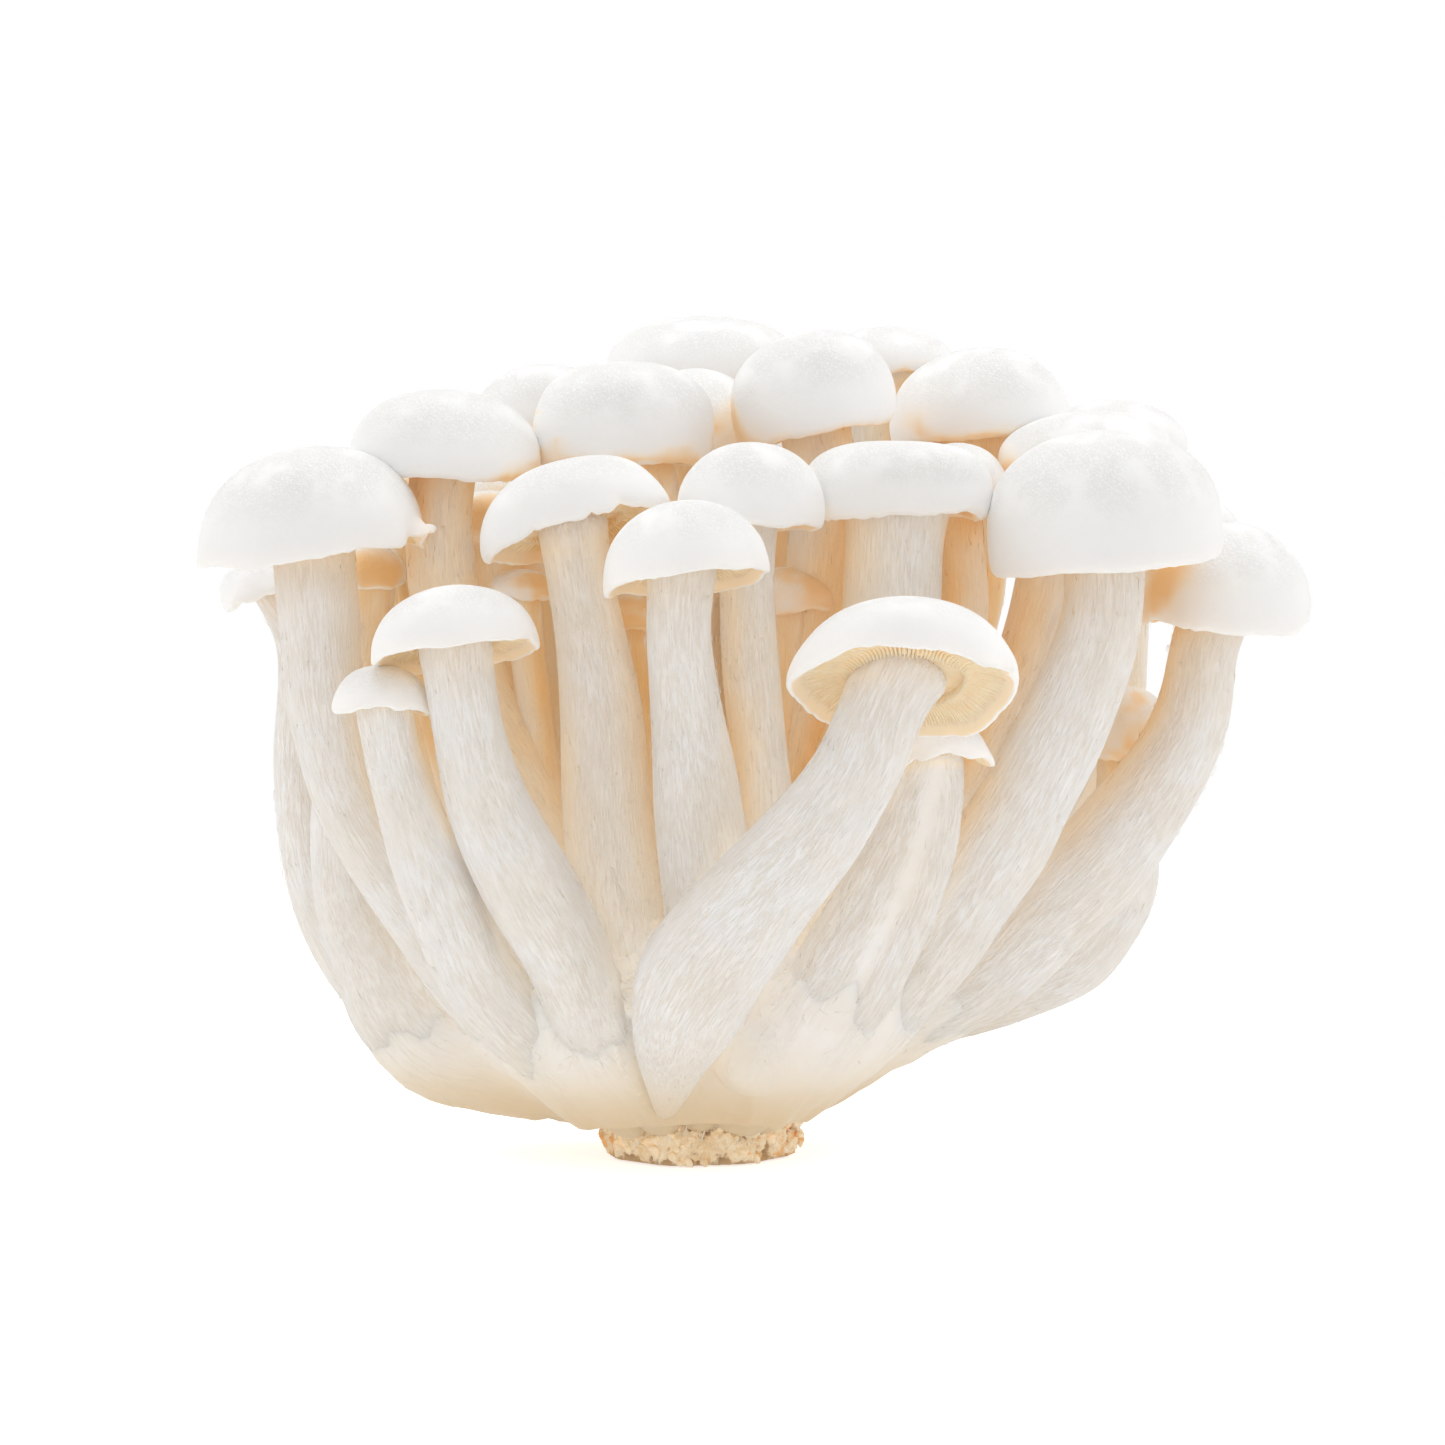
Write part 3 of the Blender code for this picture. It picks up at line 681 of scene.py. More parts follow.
def points_of(obj: bpy.types.Object) -> np.ndarray:
    """The mesh's points."""
    values = np.empty(len(obj.data.vertices) * 3, np.float32)
    obj.data.vertices.foreach_get("co", values)
    return values.reshape(-1, 3).astype(np.float64)


def normals_of(obj: bpy.types.Object) -> np.ndarray:
    """The mesh's normals at its points."""
    values = np.empty(len(obj.data.vertices) * 3, np.float32)
    obj.data.vertices.foreach_get("normal", values)
    return values.reshape(-1, 3).astype(np.float64)


def set_points(obj: bpy.types.Object, points: np.ndarray) -> None:
    """Moves the mesh's points."""
    obj.data.vertices.foreach_set("co", points.astype(np.float32).ravel())
    obj.data.update()


def keep_values(obj: bpy.types.Object, name: str, values: np.ndarray) -> None:
    """Stores a number or a vector at each point, for the material to read."""
    kind, key = ("FLOAT_VECTOR", "vector") if values.ndim == 2 else ("FLOAT", "value")
    layer = obj.data.attributes.get(name) or obj.data.attributes.new(name, kind, "POINT")
    layer.data.foreach_set(key, values.astype(np.float32).ravel())


def placed(obj: bpy.types.Object, place: Matrix) -> tuple[np.ndarray, np.ndarray]:
    """The mesh's points and normals once it is moved by a matrix that keeps its size."""
    turn = np.array(place.to_3x3())
    return points_of(obj) @ turn.T + np.array(place.translation), normals_of(obj) @ turn.T


def replaced(kind: str, mushroom: Mushroom) -> list[str]:
    """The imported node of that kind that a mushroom's piece stands for."""
    return [kind + mushroom.name] if mushroom in CLUMP else []


def smoothstep(low: float, high: float, values: np.ndarray) -> np.ndarray:
    """Values from low to high as 0 to 1 with eased ends."""
    share = np.clip((values - low) / (high - low), 0.0, 1.0)
    return share * share * (3.0 - 2.0 * share)


def hand_in(
    obj: bpy.types.Object, slot: Slot, material: bpy.types.Material, nodes: Sequence[str] = ()
) -> None:
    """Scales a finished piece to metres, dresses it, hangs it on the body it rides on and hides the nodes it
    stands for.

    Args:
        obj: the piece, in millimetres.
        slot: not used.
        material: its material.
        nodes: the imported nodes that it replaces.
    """
    make_active(obj)
    obj.data.transform(obj.matrix_world)
    obj.matrix_world = Matrix.Identity(4)
    obj.data.transform(Matrix.Scale(MM, 4))
    bpy.ops.object.shade_smooth()
    obj.data.materials.clear()
    obj.data.materials.append(material)
    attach(obj, BODY)
    if nodes:
        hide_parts(*nodes)
    LOG.info("%s: %d faces", obj.name, len(obj.data.polygons))


# Finishes


class Wire:
    """A shader socket whose arithmetic adds Math nodes."""

    def __init__(self, bench: "Bench", socket: bpy.types.NodeSocket) -> None:
        """Holds a socket of the bench's material."""
        self.bench = bench
        self.socket = socket

    def math(self, operation: str, *others: "Wire | float") -> "Wire":
        """This value and the others through one Math node."""
        values = {0: self, **dict(enumerate(others, 1))}
        return self.bench.node("ShaderNodeMath", {"operation": operation}, values)

    def __add__(self, other: "Wire | float") -> "Wire":
        """This plus the other."""
        return self.math("ADD", other)

    def __radd__(self, other: float) -> "Wire":
        """The other plus this."""
        return self.math("ADD", other)

    def __sub__(self, other: "Wire | float") -> "Wire":
        """This less the other."""
        return self.math("SUBTRACT", other)

    def __rsub__(self, other: float) -> "Wire":
        """The other less this."""
        return self.bench.node("ShaderNodeMath", {"operation": "SUBTRACT"}, {0: other, 1: self})

    def __mul__(self, other: "Wire | float") -> "Wire":
        """This times the other."""
        return self.math("MULTIPLY", other)

    def __rmul__(self, other: float) -> "Wire":
        """The other times this."""
        return self.math("MULTIPLY", other)

    def between(self, low: float, high: float) -> "Wire":
        """This value from low to high as 0 to 1 with eased ends."""
        return self.bench.node(
            "ShaderNodeMapRange",
            {"interpolation_type": "SMOOTHSTEP"},
            {"Value": self, "From Min": low, "From Max": high},
        )


class Bench:
    """The nodes of one material, with its shader."""

    def __init__(self, name: str) -> None:
        """Starts a material of that name."""
        self.material = bpy.data.materials.new(name)
        self.material.use_nodes = True
        self.tree = self.material.node_tree
        self.shader = self.tree.nodes["Principled BSDF"]

    def node(
        self,
        kind: str,
        settings: dict[str, object] | None = None,
        values: dict[str | int, object] | None = None,
        output: str | int = 0,
    ) -> Wire:
        """Adds a node.

        Args:
            kind: the node's type.
            settings: its own settings, which are set first.
            values: a value or a Wire for each socket, by name or number.
            output: the socket that it gives.

        Returns:
            That socket as a Wire.
        """
        made = self.tree.nodes.new(kind)
        for key, value in (settings or {}).items():
            setattr(made, key, value)
        for key, value in (values or {}).items():
            self.feed(made.inputs[key], value)
        return Wire(self, made.outputs[output])

    def feed(self, socket: bpy.types.NodeSocket, value: object) -> None:
        """Links a Wire to a socket, or sets the socket's value."""
        if isinstance(value, Wire):
            self.tree.links.new(value.socket, socket)
        elif isinstance(value, tuple) and len(value) == 3 and socket.type == "RGBA":
            socket.default_value = (*value, 1.0)
        else:
            socket.default_value = value

    def place(self) -> Wire:
        """The point's place on the object, in millimetres."""
        where = self.node("ShaderNodeTexCoord", output="Object")
        return self.scaled(where, (1.0 / MM,) * 3)

    def scaled(self, vector: Wire, by: tuple[float, float, float]) -> Wire:
        """A vector with each coordinate times a number."""
        return self.node("ShaderNodeVectorMath", {"operation": "MULTIPLY"}, {0: vector, 1: by})

    def kept(self, name: str, output: str = "Fac") -> Wire:
        """What was stored at the mesh's points under a name."""
        return self.node("ShaderNodeAttribute", {"attribute_name": name}, output=output)

    def noise(self, where: Wire, wavelength: float, detail: float = 2.0, roughness: float = 0.5) -> Wire:
        """Noise of about one wavelength, from 0 to 1."""
        return self.node(
            "ShaderNodeTexNoise",
            {"noise_dimensions": "3D"},
            {"Vector": where, "Scale": 1.0 / wavelength, "Detail": detail, "Roughness": roughness},
        )

    def place_on(self, axis: str) -> Wire:
        """One coordinate of the point, in millimetres."""
        return self.node("ShaderNodeSeparateXYZ", {}, {0: self.place()}, output=axis)

    def painted_warmth(self) -> Wire:
        """Painted warm light, in place of light through thin flesh: most in the closed-in places high up."""
        opened = 1.0 - (0.0 - self.place_on("Y")).between(*PAINTED_WARMTH_FRONT) * PAINTED_WARMTH_FRONT_CUT
        return self.kept("shelter") * self.place_on("Z").between(*PAINTED_WARMTH_HEIGHTS) * opened

    def with_painted_warm_light(self, colour: Wire, painted_amber: Colour, low: float, high: float) -> Wire:
        """Painted warm light: the colour turns amber where the flesh is closed in, as if lit through it."""
        painted_warmth = self.painted_warmth()
        warmed = self.mixed(painted_warmth.between(low, high), colour, painted_amber)
        # Painted deep amber where the flesh is most closed in
        return self.mixed(painted_warmth.between(0.6, 0.98) * 0.8, warmed, PAINTED_DEEP_AMBER)

    def painted_glow(self, painted_amber: Colour, low: float, high: float, strength: float) -> None:
        """Painted glow: faint light of its own from the closed-in flesh, as if lit through it.

        Args:
            painted_amber: the painted glow's colour where the flesh is thin, high up.
            low: the shelter that it starts at.
            high: the shelter that it is full at.
            strength: how bright it is.
        """
        # Painted glow: pale among the down low in the clump, amber higher up, none in the open
        light = self.mixed(self.painted_warmth().between(low, high), PAINTED_DOWN_GLOW, painted_amber)
        lit = self.mixed(self.kept("shelter").between(low, high), (0.0, 0.0, 0.0), light)
        self.feed(self.shader.inputs["Emission Color"], lit)
        self.feed(self.shader.inputs["Emission Strength"], strength)

    def mixed(self, share: Wire | float, first: Wire | Colour, second: Wire | Colour) -> Wire:
        """The first colour going over to the second."""
        return self.node(
            "ShaderNodeMix", {"data_type": "RGBA"}, {0: share, 6: first, 7: second}, output=2
        )

    def dress(
        self,
        colour: Wire,
        roughness: Wire | float,
        height: Wire,
        relief: float,
        thin: bool = False,
        **constants: object,
    ) -> bpy.types.Material:
        """Finishes the material.

        Args:
            colour: the base colour.
            roughness: its roughness.
            height: the surface's fine relief, from 0 to 1.
            relief: how high 1 is, in millimetres.
            thin: whether the flesh is so thin that light has to be followed through it.
            constants: values for other sockets of the shader, their names with _ for spaces.

        Returns:
            The material.
        """
        bump = self.node(
            "ShaderNodeBump", values={"Strength": 1.0, "Distance": relief * MM, "Height": height}
        )
        self.feed(self.shader.inputs["Base Color"], colour)
        self.feed(self.shader.inputs["Roughness"], roughness)
        self.feed(self.shader.inputs["Normal"], bump)
        self.shader.subsurface_method = "RANDOM_WALK" if thin else "BURLEY"
        for key, value in constants.items():
            self.feed(self.shader.inputs[key.replace("_", " ")], value)
        return self.material


@dataclass(frozen=True)
class CapSkin:
    """Smooth pale skin, finely pitted and mottled on the crown, with painted warm light and glow."""

    pale: Colour = (0.935, 0.93, 0.92)
    shadow: Colour = (0.80, 0.785, 0.76)
    # Painted warm light and painted glow where the skin is closed in
    painted_amber: Colour = (0.92, 0.78, 0.57)
    under: Colour = (0.93, 0.79, 0.58)
    painted_glow_colour: Colour = (0.78, 0.54, 0.29)
    painted_glow: float = 0.11
    pit_size: float = 0.42
    patch_size: float = 4.0
    mottle_size: float = 1.7
    fine_size: float = 0.35
    relief: float = 0.06
    roughness: float = 0.58

    def material(self) -> bpy.types.Material:
        """The skin's material, which reads how near the crown each point is."""
        bench = Bench("cap_skin")
        where = bench.place()
        crown = bench.kept("crown")
        patch = (bench.noise(where, self.patch_size) + 0.15).between(0.42, 0.7) * crown.between(0.2, 0.75)
        wander = bench.node("ShaderNodeTexNoise", {}, {"Vector": where, "Scale": 1.6}, output="Color")
        warped = bench.node(
            "ShaderNodeVectorMath",
            {"operation": "ADD"},
            {0: where, 1: wander},
        )
        cells = bench.node(
            "ShaderNodeTexVoronoi",
            {"feature": "DISTANCE_TO_EDGE"},
            {"Vector": warped, "Scale": 1.0 / self.pit_size},
        )
        wall = 1.0 - cells.between(0.0, 0.22)
        fine = bench.noise(where, self.fine_size, 3.0, 0.6)
        mottle = bench.noise(where, self.mottle_size, 3.0, 0.6).between(0.35, 0.7)
        tone = wall * patch * 0.5 + (1.0 - wall) * mottle * patch * 0.12 + mottle * 0.05
        skin = bench.mixed(tone, self.pale, self.shadow)
        skin = bench.mixed(bench.kept("under"), skin, self.under)
        # Painted warm light and painted glow where the skin is closed in
        colour = bench.with_painted_warm_light(skin, self.painted_amber, 0.45, 0.98)
        bench.painted_glow(self.painted_glow_colour, 0.40, 0.98, self.painted_glow)
        height = fine * 0.25 + (1.0 - wall) * patch * 0.6 + mottle * 0.3
        return bench.dress(
            colour, self.roughness + fine * 0.12, height, self.relief,
            Subsurface_Weight=0.35, Subsurface_Radius=(1.0, 0.62, 0.36), Subsurface_Scale=2.2 * MM,
            Specular_IOR_Level=0.2, Sheen_Weight=0.3, Sheen_Roughness=0.45,
        )


@dataclass(frozen=True)
class StemFlesh:
    """Cream flesh with fine fibres along the stem, drawn as tan streaks on white, with painted warm light
    and glow.
    """

    name: str = "stem_flesh"
    pale: Colour = (0.96, 0.945, 0.93)
    cream: Colour = (0.94, 0.895, 0.835)
    streak: Colour = (0.84, 0.755, 0.65)
    # Painted shade: the flesh darkens and browns towards the bottom, where little light reaches near the
    # floor
    foot: Colour = (0.88, 0.745, 0.53)
    painted_base_shade: Colour = (0.76, 0.57, 0.33)
    # Painted warm light and painted glow where the flesh is closed in
    painted_amber: Colour = (0.92, 0.76, 0.54)
    painted_glow_colour: Colour = (0.78, 0.51, 0.24)
    painted_glow: float = 0.19
    streak_width: float = 0.21
    streak_length: float = 2.3
    strength: float = 0.62
    broad_size: float = 2.2
    tone_size: float = 7.0
    clear_from: tuple[float, float] = (16.0, 34.0)
    painted_low_shade_heights: tuple[float, float] = (3.0, 17.0)
    painted_base_shade_heights: tuple[float, float] = (4.5, 11.0)
    relief: float = 0.11
    roughness: float = 0.62

    def material(self) -> bpy.types.Material:
        """The flesh's material, which reads the grain that was stored along the stem."""
        bench = Bench(self.name)
        grain = bench.kept("grain", "Vector")
        drawn = bench.scaled(grain, (1.0, 1.0, self.streak_width / self.streak_length))
        fibres = bench.noise(drawn, self.streak_width, 3.0, 0.65)
        broad = bench.noise(bench.scaled(grain, (1.0, 1.0, 0.16)), self.broad_size, 2.0)
        out = bench.node("ShaderNodeVectorMath", {"operation": "LENGTH"}, {0: bench.place()}, output="Value")
        clear = (1.0 - bench.kept("seam")) * (out.between(*self.clear_from) * 0.6 + 0.4)
        tone = bench.noise(bench.place(), self.tone_size, 3.0).between(0.3, 0.7)
        streaks = fibres.between(0.40, 0.66) * (broad.between(0.3, 0.65) * 0.6 + 0.4) * clear
        flesh = bench.mixed(tone, self.pale, self.cream)
        # Painted shade: darker and browner towards the bottom, near the floor
        painted_low_shade = 1.0 - bench.place_on("Z").between(*self.painted_low_shade_heights)
        flesh = bench.mixed(painted_low_shade * 0.8, flesh, self.foot)
        lowest = 1.0 - bench.place_on("Z").between(*self.painted_base_shade_heights)
        flesh = bench.mixed(lowest * 0.6, flesh, self.painted_base_shade)
        drawn_on = bench.mixed(streaks * self.strength, flesh, self.streak)
        # Painted warm light and painted glow where the flesh is closed in
        colour = bench.with_painted_warm_light(drawn_on, self.painted_amber, 0.12, 0.92)
        bench.painted_glow(self.painted_glow_colour, 0.25, 0.95, self.painted_glow)
        height = 1.0 - (fibres.between(0.35, 0.75) * 0.8 + broad * 0.2) * clear - (1.0 - clear) * 0.5
        return bench.dress(
            colour, self.roughness + streaks * 0.15, height, self.relief,
            Subsurface_Weight=0.35, Subsurface_Radius=(1.0, 0.55, 0.27), Subsurface_Scale=2.5 * MM,
            Specular_IOR_Level=0.3, Sheen_Weight=0.35, Sheen_Roughness=0.45,
        )


@dataclass(frozen=True)
class GillFlesh:
    """Soft pale gills, a little warmer than the skin, with painted warm light and a painted glow."""

    pale: Colour = (0.93, 0.785, 0.565)
    warm: Colour = (0.91, 0.72, 0.48)
    painted_amber: Colour = (0.88, 0.60, 0.31)
    # The colour of the painted glow that the gills give off everywhere
    light: Colour = (0.96, 0.70, 0.42)
    painted_glow: float = 0.07
    tone_size: float = 1.4
    fine_size: float = 0.25
    relief: float = 0.03
    roughness: float = 0.68

    def material(self) -> bpy.types.Material:
        """The gills' material."""
        bench = Bench("gill_flesh")
        where = bench.place()
        tone = bench.noise(where, self.tone_size, 3.0).between(0.35, 0.7)
        fine = bench.noise(where, self.fine_size, 2.0)
        # Painted glow: the gills give off a faint warm light of their own, in place of light through the
        # flesh
        bench.feed(bench.shader.inputs["Emission Color"], self.light)
        bench.feed(bench.shader.inputs["Emission Strength"], self.painted_glow)
        # Painted warm light where the gills are closed in
        colour = bench.with_painted_warm_light(bench.mixed(tone, self.pale, self.warm), self.painted_amber, 0.35, 0.95)
        return bench.dress(
            colour, self.roughness, fine, self.relief, thin=True,
            Subsurface_Weight=0.3, Subsurface_Radius=(1.0, 0.55, 0.3), Subsurface_Scale=1.5 * MM,
            Specular_IOR_Level=0.25,
        )


@dataclass(frozen=True)
class Crumb:
    """Crumbly mycelium: cream threads and grains, darker in the hollows, with a painted shadow along its
    bottom edge and a painted glow.
    """

    pale: Colour = (0.97, 0.86, 0.67)
    tan: Colour = (0.88, 0.68, 0.43)
    ochre: Colour = (0.86, 0.46, 0.15)
    # The colour of the hollows and of the painted shadow along the bottom edge
    hollow: Colour = (0.50, 0.31, 0.14)
    # The colour of the painted glow
    light: Colour = (0.95, 0.70, 0.42)
    painted_glow: float = 0.10
    grain_size: float = 0.55
    patch_size: float = 2.4
    relief: float = 0.22
    roughness: float = 0.88

    def material(self) -> bpy.types.Material:
        """The mycelium's material, which reads how deep in a hollow each point lies and where the painted
        shadow along its bottom edge falls.
        """
        bench = Bench("mycelium")
        where = bench.place()
        # How deep in a hollow each point lies, with the painted shadow along the bottom edge
        deep = bench.kept("hollow")
        grains = bench.noise(where, self.grain_size, 4.0, 0.7)
        patches = bench.noise(where, self.patch_size, 3.0, 0.6)
        crumb = bench.mixed(patches.between(0.45, 0.75), self.pale, self.tan)
        rusty = (bench.kept("ochre") + (grains - 0.5) * 1.2).between(0.45, 0.95)
        crumb = bench.mixed(rusty * 0.85, crumb, self.ochre)
        # Darker in the hollows, and painted shadow along the bottom edge
        pits_and_painted_base_shadow = (deep + (grains - 0.5) * 0.6).between(0.45, 0.95)
        colour = bench.mixed(pits_and_painted_base_shadow * 0.75, crumb, self.hollow)
        # Painted glow: the crumb gives off a faint light of its own outside the hollows
        bench.feed(bench.shader.inputs["Emission Color"], bench.mixed(pits_and_painted_base_shadow, self.light, (0.0, 0.0, 0.0)))
        bench.feed(bench.shader.inputs["Emission Strength"], self.painted_glow)
        return bench.dress(
            colour, self.roughness, grains, self.relief,
            Subsurface_Weight=0.12, Subsurface_Radius=(1.0, 0.6, 0.3), Subsurface_Scale=1.0 * MM,
            Specular_IOR_Level=0.2,
        )


# The mushrooms


@dataclass
class Cap:
    """A mushroom's cap: a dome with a curled margin, hollow underneath."""

    mushroom: Mushroom
    sides: int = 24
    levels: int = 2
    lip: float = 0.45
    evenness: float = 1.012
    tatter: float = 0.22
    shade: Shade | None = None

    @property
    def radius(self) -> float:
        """The cap's real radius."""
        return self.mushroom.cap_radius * nearness(self.mushroom.depth)

    @property
    def height(self) -> float:
        """The cap's real height."""
        return self.mushroom.cap_height * nearness(self.mushroom.depth)

    def section(self) -> list[tuple[float, float]]:
        """The cap's section from the roof over the stem, round the margin and up to the crown."""
        curl = self.mushroom.margin.value
        tip = 1.0 - 0.11 * curl
        widest = 0.07 + 0.19 * curl
        lip = self.lip / self.radius
        inside = [(0.14, 0.315), (0.40, 0.30), (0.62, 0.245), (0.80, 0.15), (tip - 1.9 * lip, 0.06)]
        margin = [(tip - 1.0 * lip, 0.004), (tip - 0.35 * lip, -0.008), (tip + 0.06 * lip, 0.012)]
        outside = []
        for share in (0.55, 0.9):
            low = 1.0 - math.sqrt(1.0 - share**2)
            outside.append((tip + (1.0 - tip) * share, widest * low))
        outside.append((1.0, widest))
        power = self.mushroom.box
        for up in (0.16, 0.33, 0.50, 0.66, 0.80, 0.905, 0.97, 0.995):
            outside.append(((1.0 - up**power) ** (1.0 / power), widest + (1.0 - widest) * up))
        outside.append((0.05, 1.0))
        return [(r * self.radius, z * self.height) for r, z in (*inside, *margin, *outside)]

    def build(self, material: bpy.types.Material) -> None:
        """Models the cap and hands it in.

        Args:
            material: the skin's material.
        """
        rings = []
        for r, z in self.section():
            wide = r * self.evenness
            size = Matrix.Diagonal((wide, wide, self.radius, 1.0))
            rings.append(Matrix.Translation((0.0, 0.0, z)) @ size)
        obj = draw_tube("skin_" + self.mushroom.name, rings, self.sides)
        if self.mushroom.knob:
            obj = join([obj, self.growth(*self.mushroom.knob)], obj.name)
        place = cap_matrix(self.mushroom)
        # How closed in the skin is, which masks its painted warm light and glow
        keep_values(obj, "shelter", self.shade.at(*placed(obj, place)))
        apply_modifier(obj, "SUBSURF", levels=self.levels, render_levels=self.levels)
        points = points_of(obj)
        facing_up = self.facing_up(obj)
        keep_values(obj, "crown", np.clip(points[:, 2] / self.height, 0.0, 1.0) * facing_up)
        tip = self.radius * (1.0 - 0.11 * self.mushroom.margin.value)
        out = np.hypot(points[:, 0], points[:, 1])
        inside = 1.0 - smoothstep(tip - 1.1 * self.lip, tip - 0.5 * self.lip, out)
        keep_values(obj, "under", inside * (1.0 - facing_up))
        set_points(obj, self.shaped(points))
        obj.data.transform(place)
        hand_in(obj, Slot.CAP_SKIN, material, replaced("cap_", self.mushroom))

    def growth(self, angle: float, size: float) -> bpy.types.Object:
        """A small knob on a short neck at the margin.

        Args:
            angle: where it is, in degrees from the right-hand side.
            size: its radius.

        Returns:
            The knob, in millimetres.
        """
        out = Matrix.Rotation(math.radians(angle), 4, "Z") @ Matrix.Rotation(math.radians(90), 4, "Y")
        rings = []
        for along, wide in ((-3.0, 0.9), (-1.6, 0.8), (-0.9, 0.75), (-0.2, 1.05), (0.6, 1.0), (1.1, 0.4)):
            girth = Matrix.Diagonal((wide * size, wide * size, size, 1.0))
            rings.append(out @ Matrix.Translation((-size, 0.0, self.radius + along * size)) @ girth)
        return draw_tube("knob", rings, 10)

    def facing_up(self, obj: bpy.types.Object) -> np.ndarray:
        """1 on the outside of the cap and 0 on the roof over the gills."""
        return smoothstep(-0.4, 0.3, normals_of(obj)[:, 2])

    def shaped(self, points: np.ndarray) -> np.ndarray:
        """The cap's points with its own unevenness, waves and dents.

        Args:
            points: the even cap's points.

        Returns:
            The points moved, and squeezed front to back.
        """
        mushroom = self.mushroom
        number = GROWN.index(mushroom)
        rng = random.Random(100 + number)
        angle = np.arctan2(points[:, 1], points[:, 0])
        out = np.hypot(points[:, 0], points[:, 1])
        at_rim = smoothstep(0.35, 0.85, out / self.radius)
        up_share = np.clip(points[:, 2] / self.height, 0.0, 1.0)
        near_margin = at_rim * (1.0 - smoothstep(0.0, 0.55, up_share))
        pull = np.zeros(len(points))
        lift = np.zeros(len(points))
        for count in (2, 3, 5, 8):
            size = mushroom.waviness * (1.6 / count) ** 0.7
            pull += near_margin * size * np.sin(count * angle + rng.uniform(0.0, math.tau))
            lift += near_margin * size * np.sin(count * angle + rng.uniform(0.0, math.tau))
        fine = np.stack([np.cos(angle), np.sin(angle)], axis=1) * self.radius
        lift += self.tatter * mushroom.waviness * near_margin * Relief(1.5, 900 + number).at(fine)
        for dent in mushroom.dents:
            away = (angle - math.radians(dent.angle) + math.pi) % math.tau - math.pi
            felt = np.exp(-((away / math.radians(dent.width)) ** 2))
            felt *= at_rim * (1.0 - smoothstep(0.0, dent.reach, up_share))
            pull += dent.out * felt
            lift += dent.up * felt
        grown = 1.0 + 0.012 * Relief(1.1 * self.radius, 300 + number).at(points)
        stretch = grown + pull / np.maximum(out, 0.2 * self.radius)
        return np.stack(
            [
                points[:, 0] * stretch,
                points[:, 1] * stretch * mushroom.cap_flat,
                points[:, 2] * (1.0 + 0.4 * (grown - 1.0)) + lift,
            ],
            axis=1,
        )


